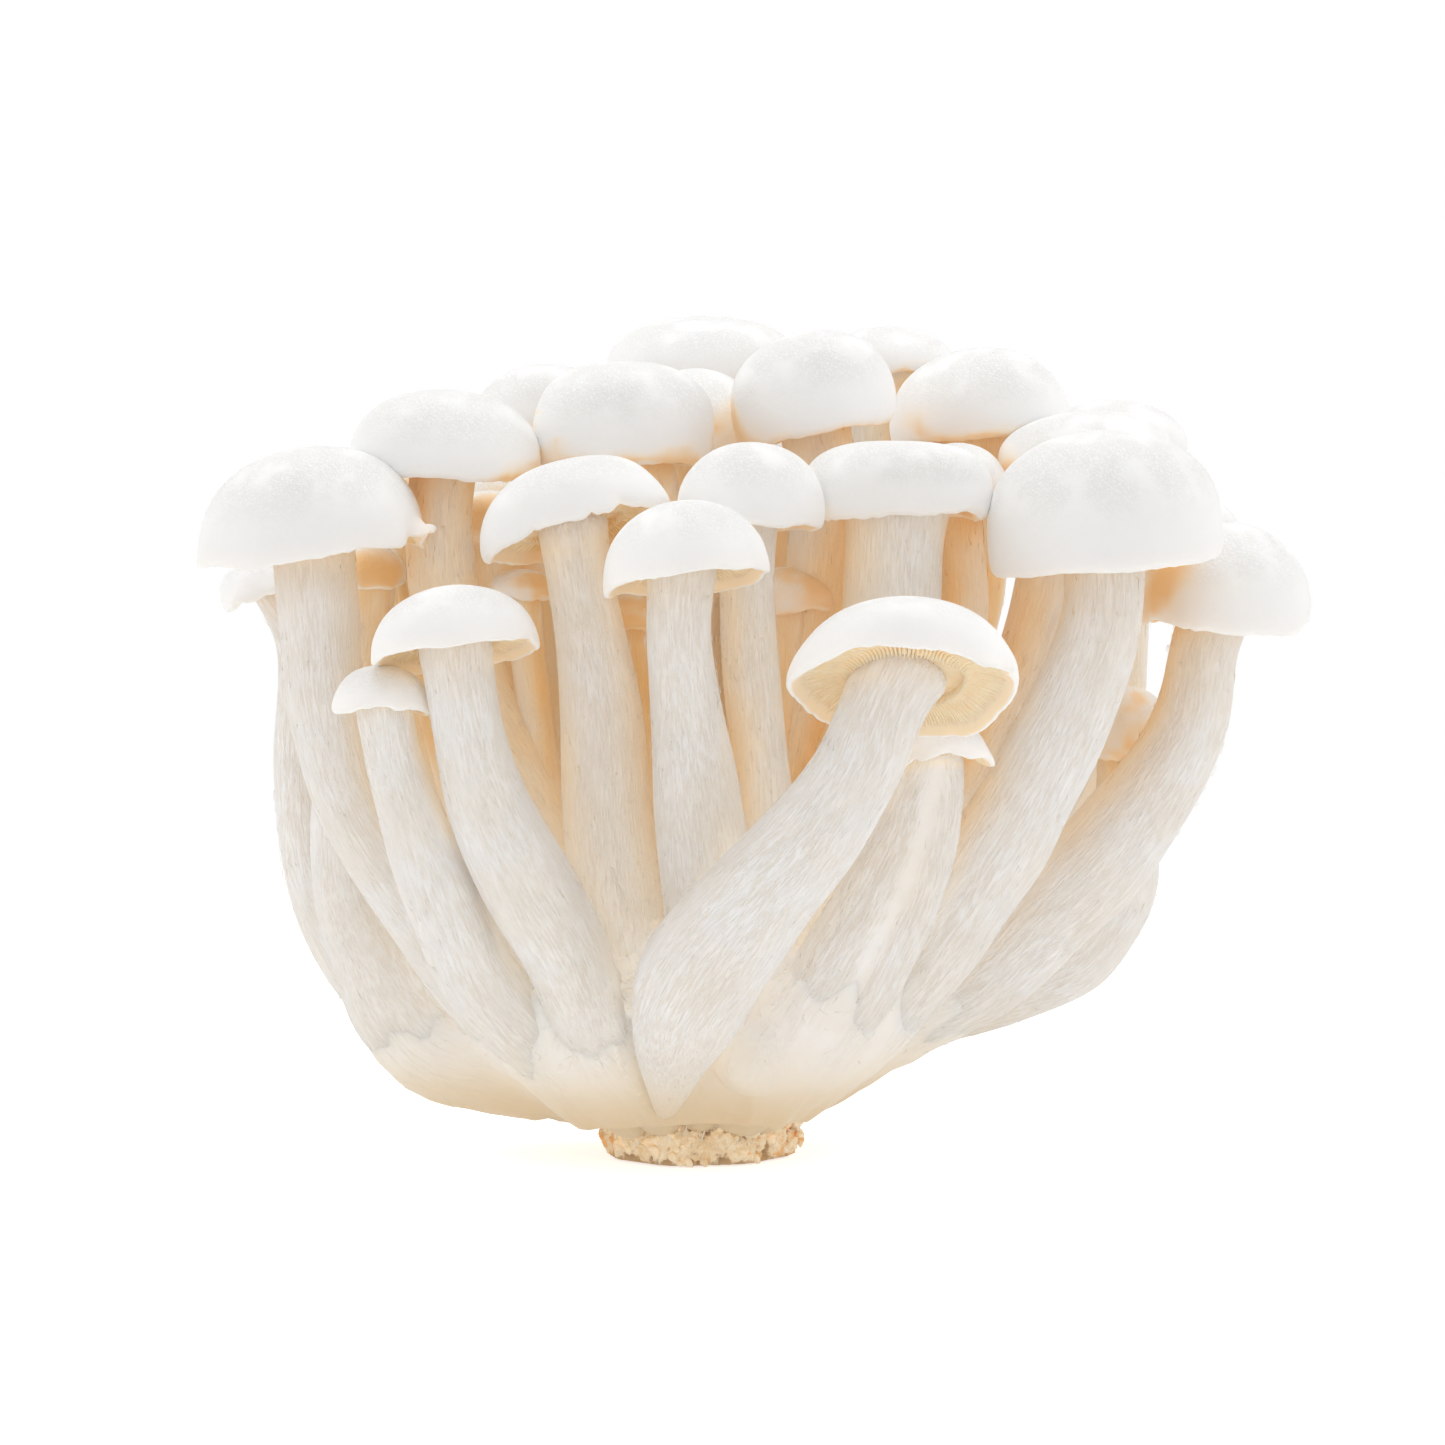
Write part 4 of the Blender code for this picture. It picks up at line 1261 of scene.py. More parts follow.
@dataclass
class Gills:
    """The gills under one cap, long and short by turns."""

    mushroom: Mushroom
    shade: Shade
    thick: float = 0.15
    steps: int = 7
    drop: float = 0.115
    short_from: float = 0.52
    onto_stem: float = 0.1
    sectors: int = 24
    below: float = 1.2
    least_shelter: float = 0.25

    @property
    def seen(self) -> bool:
        """Whether the cap shows its gills from the front."""
        return self.mushroom.nod > 20.0

    @property
    def peeped_at(self) -> bool:
        """Whether the cap shows only the edge of its gills."""
        return 5.0 < self.mushroom.nod <= 20.0

    @property
    def apart(self) -> float:
        """How far apart the gills stand at the margin."""
        return 0.36 if self.seen else 0.5 if self.peeped_at else 0.9

    def blade(self, inner: float, name: str) -> bpy.types.Object:
        """One gill standing in the XZ plane, from that far out to the margin.

        Args:
            inner: where it starts, in millimetres from the cap's middle.
            name: the object's name.

        Returns:
            The gill, in millimetres.
        """
        cap = Cap(self.mushroom)
        outer = cap.radius * (1.0 - 0.11 * self.mushroom.margin.value) - 0.75 * cap.lip
        bpy.ops.object.select_all(action="DESELECT")
        bpy.ops.mesh.primitive_grid_add(x_subdivisions=self.steps, y_subdivisions=1, size=1.0)
        obj = bpy.context.object
        obj.name = name
        points = points_of(obj)
        share = points[:, 0] + 0.5
        low = points[:, 1] < 0.0
        at = inner + (outer - inner) * share
        roof = np.interp(at / cap.radius, (0.2, 0.40, 0.62, 0.80, 1.0), (0.32, 0.31, 0.26, 0.17, 0.03))
        drop = self.drop * (0.55 if self.seen or self.peeped_at else 1.0)
        hang = drop * (1.0 - share**3) ** 0.7 + self.onto_stem * (1.0 - smoothstep(0.0, 0.24, share))
        level = np.where(low, roof - hang, roof + 0.03)
        set_points(obj, np.stack([at, np.zeros(len(at)), np.maximum(level, 0.02) * cap.height], axis=1))
        apply_modifier(obj, "SOLIDIFY", thickness=self.thick, offset=0.0)
        return obj

    def build(self, material: bpy.types.Material) -> None:
        """Models a long and a short gill, spins them round the cap and hands them in.

        Args:
            material: the gills' material.
        """
        mushroom = self.mushroom
        cap = Cap(mushroom)
        stem_radius = visible_stem(mushroom)[0][2] * nearness(mushroom.depth)
        long = self.blade(0.8 * stem_radius, "gills_" + mushroom.name)
        short = self.blade(self.short_from * cap.radius, "short_gill")
        pairs = max(14, round(math.tau * cap.radius / (2.0 * self.apart)))
        turn = math.pi / pairs
        short.data.transform(Matrix.Rotation(turn, 4, "Z"))
        obj = join([long, short], "gills_" + mushroom.name)
        bpy.ops.object.mode_set(mode="EDIT")
        bpy.ops.mesh.select_all(action="SELECT")
        round_to_last = math.tau * (pairs - 1) / pairs
        bpy.ops.mesh.spin(
            steps=pairs - 1, dupli=True, angle=round_to_last, center=(0, 0, 0), axis=(0, 0, 1)
        )
        bpy.ops.object.mode_set(mode="OBJECT")
        points = points_of(obj)
        waver = Relief(1.6, 500 + GROWN.index(mushroom)).at(points)
        slow = Relief(5.0, 600 + GROWN.index(mushroom)).at(points)
        angle = np.arctan2(points[:, 1], points[:, 0]) + 0.10 * turn * waver + 0.35 * turn * slow
        out = np.hypot(points[:, 0], points[:, 1])
        points = np.stack([out * np.cos(angle), out * np.sin(angle), points[:, 2] + 0.02 * waver], axis=1)
        set_points(obj, cap.shaped(points))
        obj.data.transform(cap_matrix(mushroom))
        # How closed in each sector is, which masks the gills' painted warm light
        under = Vector(cap_matrix(mushroom).to_3x3() @ Vector((0.0, 0.0, -1.0)))
        away = points_of(obj) - np.array(cap_matrix(mushroom).translation)
        turns = (np.arctan2(away[:, 1], away[:, 0]) + math.pi) / math.tau
        sectors = np.floor(turns * (self.sectors - 0.01)).astype(int)
        shelter = np.zeros(len(away))
        for sector in range(self.sectors):
            inside = sectors == sector
            if inside.any():
                middle = points_of(obj)[inside].mean(axis=0, keepdims=True)
                shelter[inside] = self.shade.at(middle + np.array(under) * self.below, np.array([under]))[0]
        keep_values(obj, "shelter", self.least_shelter + (1.0 - self.least_shelter) * shelter)
        hand_in(obj, Slot.GILL_FLESH, material)


@dataclass
class Stem:
    """A mushroom's stem from inside its cap down to its root."""

    mushroom: Mushroom
    sides: int = 12
    levels: int = 2
    step: float = 3.6
    into_cap: float = 0.9
    flare: float = 0.16
    flare_length: float = 2.0
    shade: Shade | None = None
    girth: float = 1.03
    lumps: float = 0.022
    lump_size: float = 11.0
    ridges: float = 0.012
    ridge_size: float = 1.5
    ridge_turn: float = 2.2
    ridge_run: float = 0.035
    voxel: float = 0.45
    healing: int = 14

    def line(self, listed: Listed, step: float) -> GrowthLine:
        """The stem's centre line, which starts a little inside the cap."""
        crown_axis = cap_matrix(self.mushroom).to_3x3() @ Vector((0.0, 0.0, 1.0))
        path = stem_path(self.mushroom, listed)
        path[0] = (path[0][0] + crown_axis * self.into_cap, path[0][1])
        return GrowthLine.through(path, step, -crown_axis)

    def tube(self, listed: Listed, name: str, seed: int) -> bpy.types.Object:
        """Models one stem.

        Args:
            listed: the stem's points as they show.
            name: the object's name.
            seed: the seed of its lumps.

        Returns:
            The stem, in millimetres, with its grain.
        """
        line = self.line(listed, self.step)
        obj = draw_tube(name, list(line.rings(self.mushroom.stem_flat, self.girth)), self.sides)
        # How closed in the flesh is, which masks its painted warm light and glow
        keep_values(obj, "shelter", self.shade.at(points_of(obj), normals_of(obj)))
        apply_modifier(obj, "SUBSURF", levels=self.levels, render_levels=self.levels)
        points = points_of(obj)
        fine = self.line(listed, FINE_STEP)
        grain = fine.grain(points)
        out = np.hypot(grain[:, 0], grain[:, 1]) + 1e-6
        rim = grain[:, :2] / out[:, None]
        down = grain[:, 2]
        lumps = Relief(self.lump_size, seed).at(points)
        around = np.concatenate([rim * self.ridge_turn, down[:, None] * self.ridge_run], axis=1)
        ridges = Relief(self.ridge_size, seed + 1).at(around)
        share = self.lumps * lumps + self.ridges * ridges
        flare = self.flare * (2.0 if Gills(self.mushroom, self.shade).seen else 1.0)
        share += flare * np.exp(-np.maximum(down - self.into_cap, 0.0) / self.flare_length)
        index = fine.nearest(points)
        middle = fine.points[index] + fine.ahead[index] * (
            ((points - fine.points[index]) * fine.ahead[index]).sum(axis=1)[:, None]
        )
        set_points(obj, points + (points - middle) * share[:, None])
        keep_values(obj, "grain", grain + [0.0, 0.0, GRAIN_APART * seed])
        return obj

    def build(self, material: bpy.types.Material) -> None:
        """Models the stem, with its twin where it has one, and hands it in.

        Args:
            material: the flesh's material.
        """
        mushroom = self.mushroom
        name = "flesh_" + mushroom.name
        number = GROWN.index(mushroom)
        obj = self.tube(visible_stem(mushroom), name, 10 + 2 * number)
        if mushroom.joined_stem:
            obj = join([obj, self.tube(mushroom.joined_stem, "twin", 90)], name)
            apply_modifier(obj, "REMESH", mode="VOXEL", voxel_size=self.voxel)
            apply_modifier(obj, "SMOOTH", factor=0.5, iterations=self.healing)
            points = points_of(obj)
            lines = [self.line(listed, FINE_STEP) for listed in (mushroom.stem, mushroom.joined_stem)]
            GrowthLine.joined(lines).store(obj)
            # How closed in the flesh is, which masks its painted warm light and glow
            keep_values(obj, "shelter", self.shade.at(points, normals_of(obj)))
        hand_in(obj, Slot.STEM_FLESH, material, replaced("stem_", mushroom))


@dataclass
class Foot:
    """The flesh that the stems have grown together in.

    Low down it lies just outside the stems and softens the creases between them, and further up it
    dives inside them.
    """

    shade: Shade
    reach: float = 42.0
    centre: Vector = field(default_factory=lambda: Vector((0.0, 0.0, 3.0)))
    parting: tuple[float, float] = (21.0, 38.0)
    offsets: tuple[float, float] = (0.25, -0.7)
    blend: float = 5.2
    least_blend: float = 0.3
    stride: float = 0.9
    pleats: float = 0.34
    pleat_size: float = 1.15
    pleat_turn: float = 6.5
    pleat_run: float = 0.06
    pleated: tuple[float, float] = (9.0, 24.0)
    lumps: float = 0.05
    lump_size: float = 3.0
    lowest: float = 2.0
    over_plug: float = 2.7
    plug_edge: tuple[float, float] = (13.0, 22.0)
    voxel: float = 0.6
    smoothing: int = 4
    rounds: int = 5
    fillings: tuple[tuple[tuple[float, float, float], tuple[float, float, float]], ...] = (
        ((0.0, 0.0, 8.0), (8.0, 8.0, 5.0)),
        ((-8.6, -18.5, 16.5), (3.6, 4.6, 5.0)),
        ((5.5, -16.0, 13.0), (4.0, 4.6, 4.6)),
    )

    def lines(self, step: float) -> Iterator[tuple[GrowthLine, float]]:
        """Each stem's line but the leaning one's, which stands free down to its tip, and its squeeze."""
        for mushroom in CLUMP:
            if mushroom.name != "leaning":
                for listed in filter(None, (visible_stem(mushroom), mushroom.joined_stem)):
                    yield Stem(mushroom).line(listed, step), mushroom.stem_flat

    def away(self, points: np.ndarray) -> np.ndarray:
        """How far the points are from the middle of the foot."""
        return np.linalg.norm(points - np.array(self.centre), axis=1)

    def parted(self, points: np.ndarray) -> np.ndarray:
        """How far the stems have come apart at each point, from 0 to 1."""
        return smoothstep(*self.parting, self.away(points))

    def swollen(self, line: GrowthLine) -> GrowthLine:
        """A stem's line with enough girth to lie outside the foot's surface."""
        share = self.parted(line.points)
        extra = (self.blend / 4.0 + self.offsets[0]) * (1.0 - share) + self.offsets[1] * share
        return replace(line, radii=line.radii + extra)

    def outside(self, points: np.ndarray) -> np.ndarray:
        """How far outside the foot's surface each point lies.

        Args:
            points: points near the surface.

        Returns:
            The distances, which are negative inside.
        """
        lines = [line for line, _ in self.lines(1.2)]
        firsts = np.cumsum([0] + [len(line.points) for line in lines[:-1]])
        centres = np.concatenate([line.points for line in lines])
        radii = np.concatenate([line.radii for line in lines])
        share = self.parted(points)
        blend = self.blend * (1.0 - share) + self.least_blend
        found = np.empty(len(points))
        for start in range(0, len(points), 4000):
            some = points[start : start + 4000]
            squares = (some**2).sum(axis=1)[:, None] + (centres**2).sum(axis=1) - 2.0 * some @ centres.T
            gaps = np.sqrt(np.maximum(squares, 0.0)) - radii
            near = np.partition(np.minimum.reduceat(gaps, firsts, axis=1), 1, axis=1)
            width = blend[start : start + 4000]
            overlap = np.maximum(width - (near[:, 1] - near[:, 0]), 0.0)
            found[start : start + 4000] = near[:, 0] - overlap**2 / (4.0 * width)
        for middle, size in self.fillings:
            inside = np.linalg.norm((points - np.array(middle)) / np.array(size), axis=1) - 1.0
            found = np.minimum(found, inside * min(size))
        return found - self.offsets[0] * (1.0 - share) - self.offsets[1] * share

    def build(self, material: bpy.types.Material) -> tuple[np.ndarray, np.ndarray]:
        """Models the foot from the stems' lower ends and hands it in.

        Args:
            material: the foot's material.

        Returns:
            Its points, in millimetres, and the directions that they face.
        """
        tubes = []
        for line, flat in self.lines(3.0):
            near = self.away(line.points) < self.reach
            rings = [ring for ring, kept in zip(self.swollen(line).rings(flat), near) if kept]
            tubes.append(draw_tube("lower_end", rings, 16))
        for middle, size in self.fillings:
            bpy.ops.object.select_all(action="DESELECT")
            bpy.ops.mesh.primitive_ico_sphere_add(subdivisions=3, radius=1.0, scale=size, location=middle)
            bpy.ops.object.transform_apply(location=True, rotation=False, scale=True)
            tubes.append(bpy.context.object)
        obj = join(tubes, "foot_web")
        apply_modifier(obj, "REMESH", mode="VOXEL", voxel_size=self.voxel)
        for number in range(self.rounds):
            points = points_of(obj)
            points -= normals_of(obj) * np.clip(self.outside(points), -self.stride, self.stride)[:, None]
            set_points(obj, points)
            if number == self.rounds - 3:
                apply_modifier(obj, "REMESH", mode="VOXEL", voxel_size=self.voxel)
            apply_modifier(obj, "SMOOTH", factor=0.5, iterations=self.smoothing)
        points = points_of(obj)
        away = self.away(points)
        turn = np.arctan2(points[:, 1], points[:, 0])
        round_it = self.pleat_turn * np.cos(turn), self.pleat_turn * np.sin(turn)
        drawn = np.stack([*round_it, self.pleat_run * away], axis=1)
        folds = self.pleats * Relief(self.pleat_size, 8).at(drawn) * (1.0 - smoothstep(*self.pleated, away))
        lumps = self.lumps * Relief(self.lump_size, 7).at(points)
        points += normals_of(obj) * (folds + lumps)[:, None]
        over_plug = 1.0 - smoothstep(*self.plug_edge, np.hypot(points[:, 0], points[:, 1]))
        points[:, 2] = np.maximum(points[:, 2], self.lowest + self.over_plug * over_plug)
        set_points(obj, points)
        GrowthLine.joined([line for line, _ in self.lines(1.0)]).store(obj)
        # How closed in the foot is, which masks its painted warm light and glow
        keep_values(obj, "shelter", self.shade.at(points, normals_of(obj)))
        surface = points, normals_of(obj)
        hand_in(obj, Slot.FOOT_FLESH, material, ["fused_foot"])
        return surface


@dataclass
class Plug:
    """The crumbly slice of mycelium at the bottom, flat where it was cut."""

    half_width: float = 9.9
    half_depth: float = 9.0
    height: float = 5.2
    rings: tuple[tuple[float, float], ...] = ((0.0, 0.92), (0.3, 1.0), (0.72, 0.99), (1.0, 0.86))
    lumps: tuple[tuple[int, float, float], ...] = ((3, 0.7, 0.035), (7, 2.0, 0.03))
    twist: float = 2.0
    voxel: float = 0.28
    crumb: float = 0.55
    level: float = 0.55
    folds: tuple[float, float] = (2.3, 0.75)
    crumbs: tuple[float, float] = (1.0, 0.5)
    dust: tuple[float, float] = (0.45, 0.12)
    deepest: float = 0.9
    grains: int = 620
    grain_sizes: tuple[float, float] = (0.16, 0.62)

    def outline(self, angle: np.ndarray, share: np.ndarray) -> np.ndarray:
        """How far out the slice reaches, as a share of its half width, at a share of its height."""
        levels, widths = zip(*self.rings)
        width = np.interp(share, levels, widths)
        for count, turn, size in self.lumps:
            width = width * (1.0 + size * np.sin(count * angle + turn + self.twist * share))
        return width

    def slice(self) -> bpy.types.Object:
        """The slice with its crumbs and hollows, in millimetres."""
        bpy.ops.object.select_all(action="DESELECT")
        bpy.ops.mesh.primitive_cylinder_add(
            vertices=72, radius=1.0, depth=self.height, location=(0.0, 0.0, self.height / 2)
        )
        obj = bpy.context.object
        obj.name = obj.data.name = "plug_crumb"
        bpy.ops.object.transform_apply(location=True)
        bpy.ops.object.mode_set(mode="EDIT")
        bpy.ops.mesh.select_all(action="SELECT")
        bpy.ops.mesh.subdivide(number_cuts=6)
        bpy.ops.object.mode_set(mode="OBJECT")
        points = points_of(obj)
        angle = np.arctan2(points[:, 1], points[:, 0])
        wide = self.outline(angle, points[:, 2] / self.height)
        points[:, 0] *= wide * self.half_width
        points[:, 1] *= wide * self.half_depth
        set_points(obj, points)
        apply_modifier(obj, "REMESH", mode="VOXEL", voxel_size=self.voxel)
        return obj

    def build(self, material: bpy.types.Material) -> None:
        """Models the slice and the grains that stick to it, and hands both in.

        Args:
            material: the mycelium's material.
        """
        obj = self.slice()
        points = points_of(obj)
        normals = normals_of(obj)
        pleated = points * (1.0, 1.0, 0.42)
        folds = self.folds[1] * (1.0 - np.abs(Relief(self.folds[0], 41).at(pleated)))
        crumbs = self.crumbs[1] * (1.0 - np.abs(Relief(self.crumbs[0], 42).at(points)))
        dust = self.dust[1] * Relief(self.dust[0], 43).at(points)
        carve = self.crumb * (folds + crumbs + dust - self.level)
        free = smoothstep(0.0, 0.5, points[:, 2])
        points += normals * (np.maximum(carve, -self.deepest) * free - 0.1)[:, None]
        points[:, 2] = np.maximum(points[:, 2], 0.0)
        set_points(obj, points)
        # Painted shadow: the crumb darkens along its bottom edge, where it meets the floor
        painted_base_shadow = 1.0 - smoothstep(0.0, 1.3, points[:, 2])
        keep_values(obj, "hollow", np.clip(smoothstep(0.1, -0.75, carve) + 0.8 * painted_base_shadow, 0.0, 1.0))
        keep_values(obj, "ochre", self.rust(points))
        seats = [
            (Vector(points[index]), Vector(normals[index]))
            for index in np.random.default_rng(5).choice(
                np.flatnonzero((normals[:, 2] > -0.4) & (points[:, 2] > 0.3)), self.grains, replace=False
            )
        ]
        hand_in(obj, Slot.MYCELIUM, material, ["mycelium_plug"])
        self.sow(seats, material)

    def rust(self, points: np.ndarray) -> np.ndarray:
        """How rusty the crumb is at each point, which it is most at its left and right ends."""
        ends = smoothstep(0.55, 1.0, np.abs(points[:, 0]) / self.half_width)
        return np.clip(0.9 * ends + 0.32 * Relief(1.5, 44).at(points) - 0.15, 0.0, 1.0)

    def sow(self, seats: list[tuple[Vector, Vector]], material: bpy.types.Material) -> None:
        """Sticks a copy of one grain at each seat.

        Args:
            seats: points on the slice with the normals there.
            material: the mycelium's material.
        """
        rng = random.Random(9)
        bpy.ops.object.select_all(action="DESELECT")
        bpy.ops.mesh.primitive_ico_sphere_add(subdivisions=2, radius=1.0)
        first = bpy.context.object
        set_points(first, points_of(first) * (1.0 + 0.22 * Relief(1.3, 17).at(points_of(first)))[:, None])
        copies = []
        for seat, normal in seats:
            grain = first.copy()
            grain.data = first.data.copy()
            size = rng.uniform(*self.grain_sizes) ** 1.3
            turn = Matrix.Rotation(rng.uniform(0.0, math.tau), 4, (rng.random(), rng.random(), rng.random()))
            shape = Matrix.Diagonal((size, size * rng.uniform(0.6, 1.0), size * rng.uniform(0.5, 1.6), 1.0))
            grain.data.transform(Matrix.Translation(seat + normal * size * 0.25) @ turn @ shape)
            keep_values(grain, "hollow", np.full(len(grain.data.vertices), rng.choice((0.0, 0.0, 0.1, 0.4))))
            bpy.context.scene.collection.objects.link(grain)
            copies.append(grain)
        bpy.data.objects.remove(first)
        obj = join(copies, "plug_grains")
        points = points_of(obj)
        points[:, 2] = np.maximum(points[:, 2], 0.0)
        set_points(obj, points)
        keep_values(obj, "ochre", self.rust(points))
        hand_in(obj, Slot.MYCELIUM, material)


@dataclass
class Hairs:
    """Fine tapering hairs, each bent a little."""

    name: str
    length: tuple[float, float]
    thick: float
    shade: Shade
    joints: int = 3
    sides: int = 3

    def grow(
        self, roots: np.ndarray, ways: np.ndarray, bends: np.ndarray, seed: int, material: bpy.types.Material
    ) -> None:
        """Grows a hair from each root and hands them in as one piece.

        Args:
            roots: where the hairs start.
            ways: the directions that they start in.
            bends: where they turn to, as a share of their length.
            seed: the seed of their lengths.
            material: their material.
        """
        rng = np.random.default_rng(seed)
        count = len(roots)
        lengths = rng.uniform(*self.length, count)[:, None]
        ways = ways / np.linalg.norm(ways, axis=1, keepdims=True)
        aside = np.cross(ways, rng.normal(size=(count, 3)))
        aside /= np.linalg.norm(aside, axis=1, keepdims=True)
        other = np.cross(ways, aside)
        points = np.empty((count, self.joints, self.sides, 3))
        for joint in range(self.joints):
            share = joint / (self.joints - 1)
            middle = roots + lengths * (ways * share + bends * share**2)
            thick = self.thick * (1.0 - 0.8 * share)
            for side in range(self.sides):
                turn = math.tau * side / self.sides
                points[:, joint, side] = middle + thick * (aside * math.cos(turn) + other * math.sin(turn))
        faces = [(2, 1, 0), tuple((self.joints - 1) * self.sides + side for side in range(self.sides))]
        for joint in range(self.joints - 1):
            for side in range(self.sides):
                after = (side + 1) % self.sides
                low, high = joint * self.sides, (joint + 1) * self.sides
                faces.append((low + side, low + after, high + after, high + side))
        each = self.joints * self.sides
        every = [tuple(each * hair + index for index in face) for hair in range(count) for face in faces]
        mesh = bpy.data.meshes.new(self.name)
        mesh.from_pydata(points.reshape(-1, 3).tolist(), [], every)
        obj = bpy.data.objects.new(self.name, mesh)
        bpy.context.scene.collection.objects.link(obj)
        # How closed in each hair's root is, which masks its painted warm light
        keep_values(obj, "shelter", np.repeat(self.shade.at(roots, ways), each))
        hand_in(obj, Slot.STEM_FLESH, material)


@dataclass(frozen=True)
class Down:
    """White down and loose fibres, with painted warm light where they are closed in."""

    white: Colour = (0.95, 0.93, 0.89)
    cream: Colour = (0.90, 0.86, 0.79)
    painted_amber: Colour = (0.97, 0.80, 0.56)
    tone_size: float = 1.2
    relief: float = 0.01
    roughness: float = 0.8

    def material(self) -> bpy.types.Material:
        """The down's material."""
        bench = Bench("down")
        where = bench.place()
        tone = bench.noise(where, self.tone_size)
        # Painted warm light where the down is closed in
        colour = bench.with_painted_warm_light(bench.mixed(tone, self.white, self.cream), self.painted_amber, 0.35, 0.95)
        return bench.dress(colour, self.roughness, tone, self.relief, Specular_IOR_Level=0.2)


@dataclass
class Fuzz:
    """The loose fibres that lie along the stems, and the down in the creases over the plug."""

    shade: Shade
    fibres: int = 11000
    fibre_length: tuple[float, float] = (0.5, 1.5)
    fibre_thick: float = 0.045
    tufts: int = 3600
    tuft_length: tuple[float, float] = (0.5, 1.8)
    tuft_thick: float = 0.028
    threads: int = 150
    thread_length: tuple[float, float] = (1.6, 4.6)
    thread_thick: float = 0.10

    def along_stems(self, material: bpy.types.Material) -> None:
        """Lays loose fibres along the stems.

        Args:
            material: their material.
        """
        rng = np.random.default_rng(71)
        roots, ways, bends = [], [], []
        lines = [
            (Stem(mushroom).line(listed, 1.0), mushroom.stem_flat)
            for mushroom in CLUMP
            for listed in filter(None, (visible_stem(mushroom), mushroom.joined_stem))
        ]
        total = sum(line.along[-1] for line, _ in lines)
        for line, flat in lines:
            count = int(self.fibres * line.along[-1] / total)
            index = rng.integers(2, len(line.points) - 6, count)
            turn = rng.uniform(0.0, math.tau, count)[:, None]
            around = line.wide[index] * np.cos(turn) + line.deep[index] * np.sin(turn) * flat
            out = line.wide[index] * np.cos(turn) + line.deep[index] * np.sin(turn)
            roots.append(line.points[index] + around * line.radii[index][:, None])
            lift = rng.uniform(0.05, 0.30, count)[:, None]
            way = line.ahead[index] * rng.choice((-1.0, 1.0), count)[:, None]
            ways.append(way + out * lift + 0.12 * rng.normal(size=(count, 3)))
            bends.append(-out * lift * 0.9)
        Hairs("stem_fibres", self.fibre_length, self.fibre_thick, self.shade).grow(
            np.concatenate(roots), np.concatenate(ways), np.concatenate(bends), 72, material
        )

    def in_creases(self, foot: tuple[np.ndarray, np.ndarray], material: bpy.types.Material) -> None:
        """Grows down in the creases between the stems, thickest at the front over the plug.

        Args:
            foot: the foot's points and the directions that they face.
            material: the down's material.
        """
        rng = np.random.default_rng(73)
        points, normals = foot
        high = points[:, 2]
        front = smoothstep(4.0, -18.0, points[:, 1]) * smoothstep(16.0, 5.0, np.abs(points[:, 0] + 5.0))
        weight = smoothstep(10.0, 16.0, high) * (1.0 - smoothstep(26.0, 33.0, high)) * (0.12 + front)
        index = rng.choice(len(points), self.tufts, p=weight / weight.sum())
        ways = normals[index] + 0.9 * rng.normal(size=(self.tufts, 3))
        bends = 0.5 * rng.normal(size=(self.tufts, 3))
        tufts = Hairs("down", self.tuft_length, self.tuft_thick, self.shade)
        tufts.grow(points[index], ways, bends, 74, material)

    def over_plug(self, plug: Plug, material: bpy.types.Material) -> None:
        """Draws pale threads from the foot down over the edge of the plug.

        Args:
            plug: the plug.
            material: the threads' material.
        """
        rng = np.random.default_rng(75)
        turn = rng.uniform(0.0, math.tau, self.threads)
        share = rng.uniform(0.35, 1.0, self.threads)
        wide = plug.outline(turn, share)
        across = plug.half_width * wide * np.cos(turn)
        back = plug.half_depth * wide * np.sin(turn)
        edge = np.stack([across, back, plug.height * share], axis=1)
        inward = -np.stack([np.cos(turn), np.sin(turn), np.zeros(self.threads)], axis=1)
        ways = inward * 0.55 + [0.0, 0.0, 1.0] + 0.45 * rng.normal(size=(self.threads, 3))
        bends = 0.25 * inward + 0.35 * rng.normal(size=(self.threads, 3))
        threads = Hairs("threads", self.thread_length, self.thread_thick, self.shade, joints=6, sides=5)
        threads.grow(edge, ways, bends, 76, material)


# The studio


@dataclass(frozen=True)
class Softbox:
    """A square light that looks at the clump."""

    name: str
    place: tuple[float, float, float]
    size: float
    radiance: float
    colour: Colour = (1.0, 1.0, 1.0)

    def hang(self, look_at: Vector) -> None:
        """Adds the light, in metres.

        Args:
            look_at: the point that it faces.
        """
        light = bpy.data.lights.new(self.name, "AREA")
        light.size = self.size
        light.energy = self.radiance * math.pi * self.size**2
        light.color = self.colour
        obj = bpy.data.objects.new(self.name, light)
        obj.location = self.place
        obj.rotation_euler = (look_at - obj.location).to_track_quat("-Z", "Y").to_euler()
        bpy.context.scene.collection.objects.link(obj)


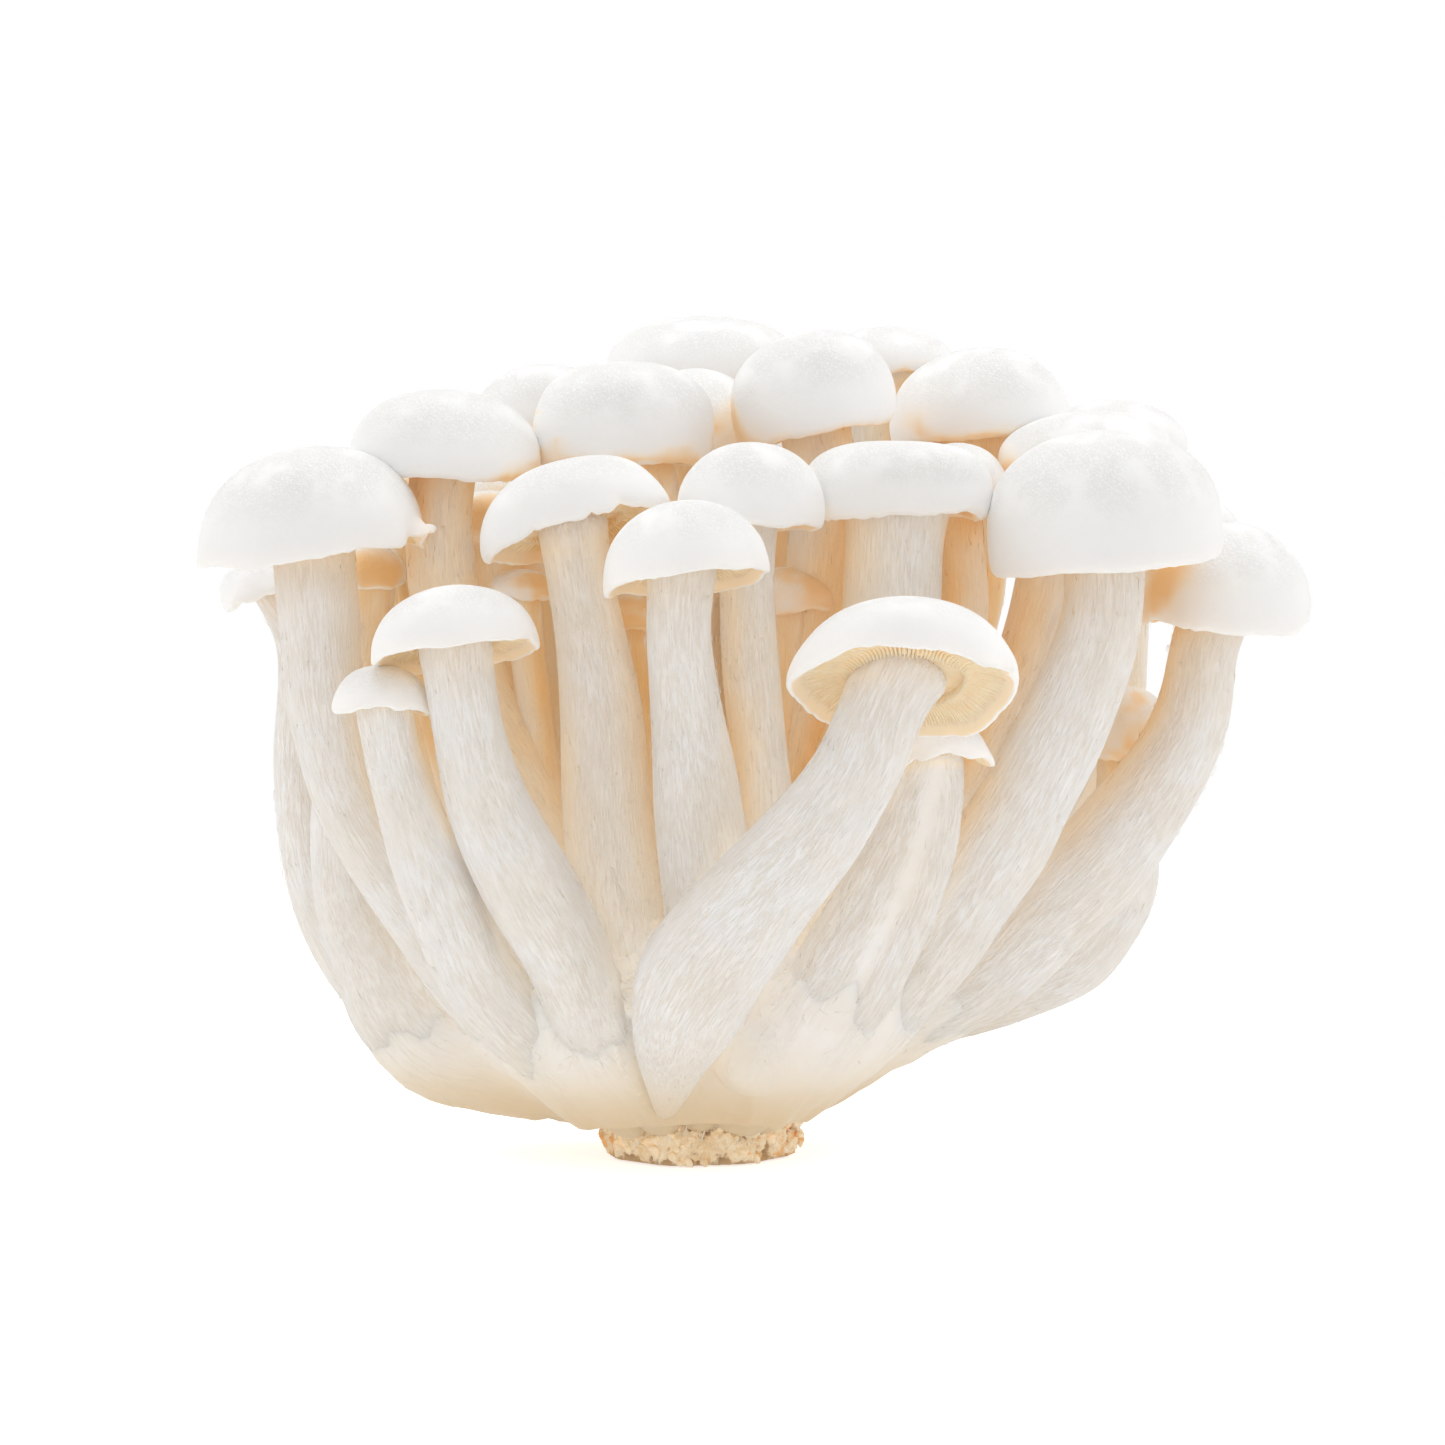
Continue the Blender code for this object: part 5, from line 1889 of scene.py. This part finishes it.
@dataclass
class Studio:
    """A white floor and background, soft lights and the camera."""

    ambient: float = 0.657
    bounces: int = 6
    floor_radius: float = 0.45
    floor_level: float = -0.0001
    floor_colour: Colour = (0.72, 0.71, 0.69)
    floor_light: Colour = (0.445, 0.445, 0.445)
    floor_glow: float = 0.66
    look_at: tuple[float, float, float] = (0.0, 0.0, 0.045)
    softboxes: tuple[Softbox, ...] = (
        Softbox("overhead", (0.0, 0.10, 0.75), 0.7, 1.59),
        Softbox("left", (-0.60, 0.15, 0.30), 0.5, 1.22),
        Softbox("right", (0.60, 0.15, 0.30), 0.5, 1.22),
        Softbox("front", (0.0, -0.80, 0.35), 0.5, 0.583),
    )

    def light(self) -> None:
        """Hangs the lights and sets a white world that the camera sees brighter than the clump does."""
        for softbox in self.softboxes:
            softbox.hang(Vector(self.look_at))
        world = bpy.data.worlds.new("white_sweep")
        world.use_nodes = True
        bpy.context.scene.world = world
        nodes = world.node_tree.nodes
        background = nodes["Background"]
        path = nodes.new("ShaderNodeLightPath")
        seen = nodes.new("ShaderNodeMapRange")
        seen.inputs["To Min"].default_value = self.ambient
        seen.inputs["To Max"].default_value = 1.0
        world.node_tree.links.new(path.outputs["Is Camera Ray"], seen.inputs["Value"])
        world.node_tree.links.new(seen.outputs["Result"], background.inputs["Strength"])
        background.inputs["Color"].default_value = (1.0, 1.0, 1.0, 1.0)
        bpy.context.scene.cycles.diffuse_bounces = self.bounces
        bpy.context.scene.cycles.max_bounces = self.bounces + 2
        view = bpy.context.scene.view_settings
        view.view_transform = "Standard"
        view.look = "None"
        view.exposure = 0.0
        view.gamma = 1.0

    def floor(self) -> None:
        """Lays the floor just under the cut face."""
        bpy.ops.object.select_all(action="DESELECT")
        bpy.ops.mesh.primitive_circle_add(
            vertices=96, radius=self.floor_radius, fill_type="NGON", location=(0.0, 0.0, self.floor_level)
        )
        obj = bpy.context.object
        obj.name = "floor"
        bench = Bench("white_floor")
        out = bench.node("ShaderNodeVectorMath", {"operation": "LENGTH"}, {0: bench.place()}, output="Value")
        edge = self.floor_radius / MM
        bench.feed(bench.shader.inputs["Base Color"], self.floor_colour)
        bench.feed(bench.shader.inputs["Roughness"], 0.9)
        bench.feed(bench.shader.inputs["Specular IOR Level"], 0.1)
        seen = bench.node("ShaderNodeLightPath", output="Is Camera Ray")
        light = bench.mixed(seen, self.floor_light, (1.0, 1.0, 1.0))
        bench.feed(bench.shader.inputs["Emission Color"], light)
        bench.feed(bench.shader.inputs["Emission Strength"], self.floor_glow)
        bench.feed(bench.shader.inputs["Alpha"], 1.0 - out.between(0.3 * edge, edge))
        obj.data.materials.append(bench.material)

    def camera(self) -> None:
        """Sets up the camera at the viewer's eye."""
        lens = bpy.data.cameras.new("camera")
        lens.sensor_width = SENSOR
        lens.lens = SENSOR * (AIM - EYE).length / VIEW_WIDTH
        lens.clip_start = 0.01
        obj = bpy.data.objects.new("camera", lens)
        obj.location = EYE * MM
        obj.rotation_euler = (AIM - EYE).to_track_quat("-Z", "Y").to_euler()
        bpy.context.scene.collection.objects.link(obj)
        bpy.context.scene.camera = obj


def main() -> None:
    """Builds and dresses every piece, and lights them."""
    logging.basicConfig(level=logging.INFO, format="%(message)s")
    skin = CapSkin().material()
    flesh = StemFlesh().material()
    foot_flesh = StemFlesh("foot_flesh", strength=0.3, streak_width=0.5, streak_length=5.0).material()
    gills = GillFlesh().material()
    crumb = Crumb().material()
    shade = Shade()
    for mushroom in GROWN:
        Cap(mushroom, shade=shade).build(skin)
        Gills(mushroom, shade).build(gills)
        Stem(mushroom, shade=shade).build(flesh)
    surface = Foot(shade).build(foot_flesh)
    plug = Plug()
    plug.build(crumb)
    down = Down().material()
    fuzz = Fuzz(shade)
    fuzz.along_stems(down)
    fuzz.in_creases(surface, down)
    fuzz.over_plug(plug, down)
    studio = Studio()
    studio.floor()
    studio.light()
    studio.camera()


if __name__ == "__main__":
    main()
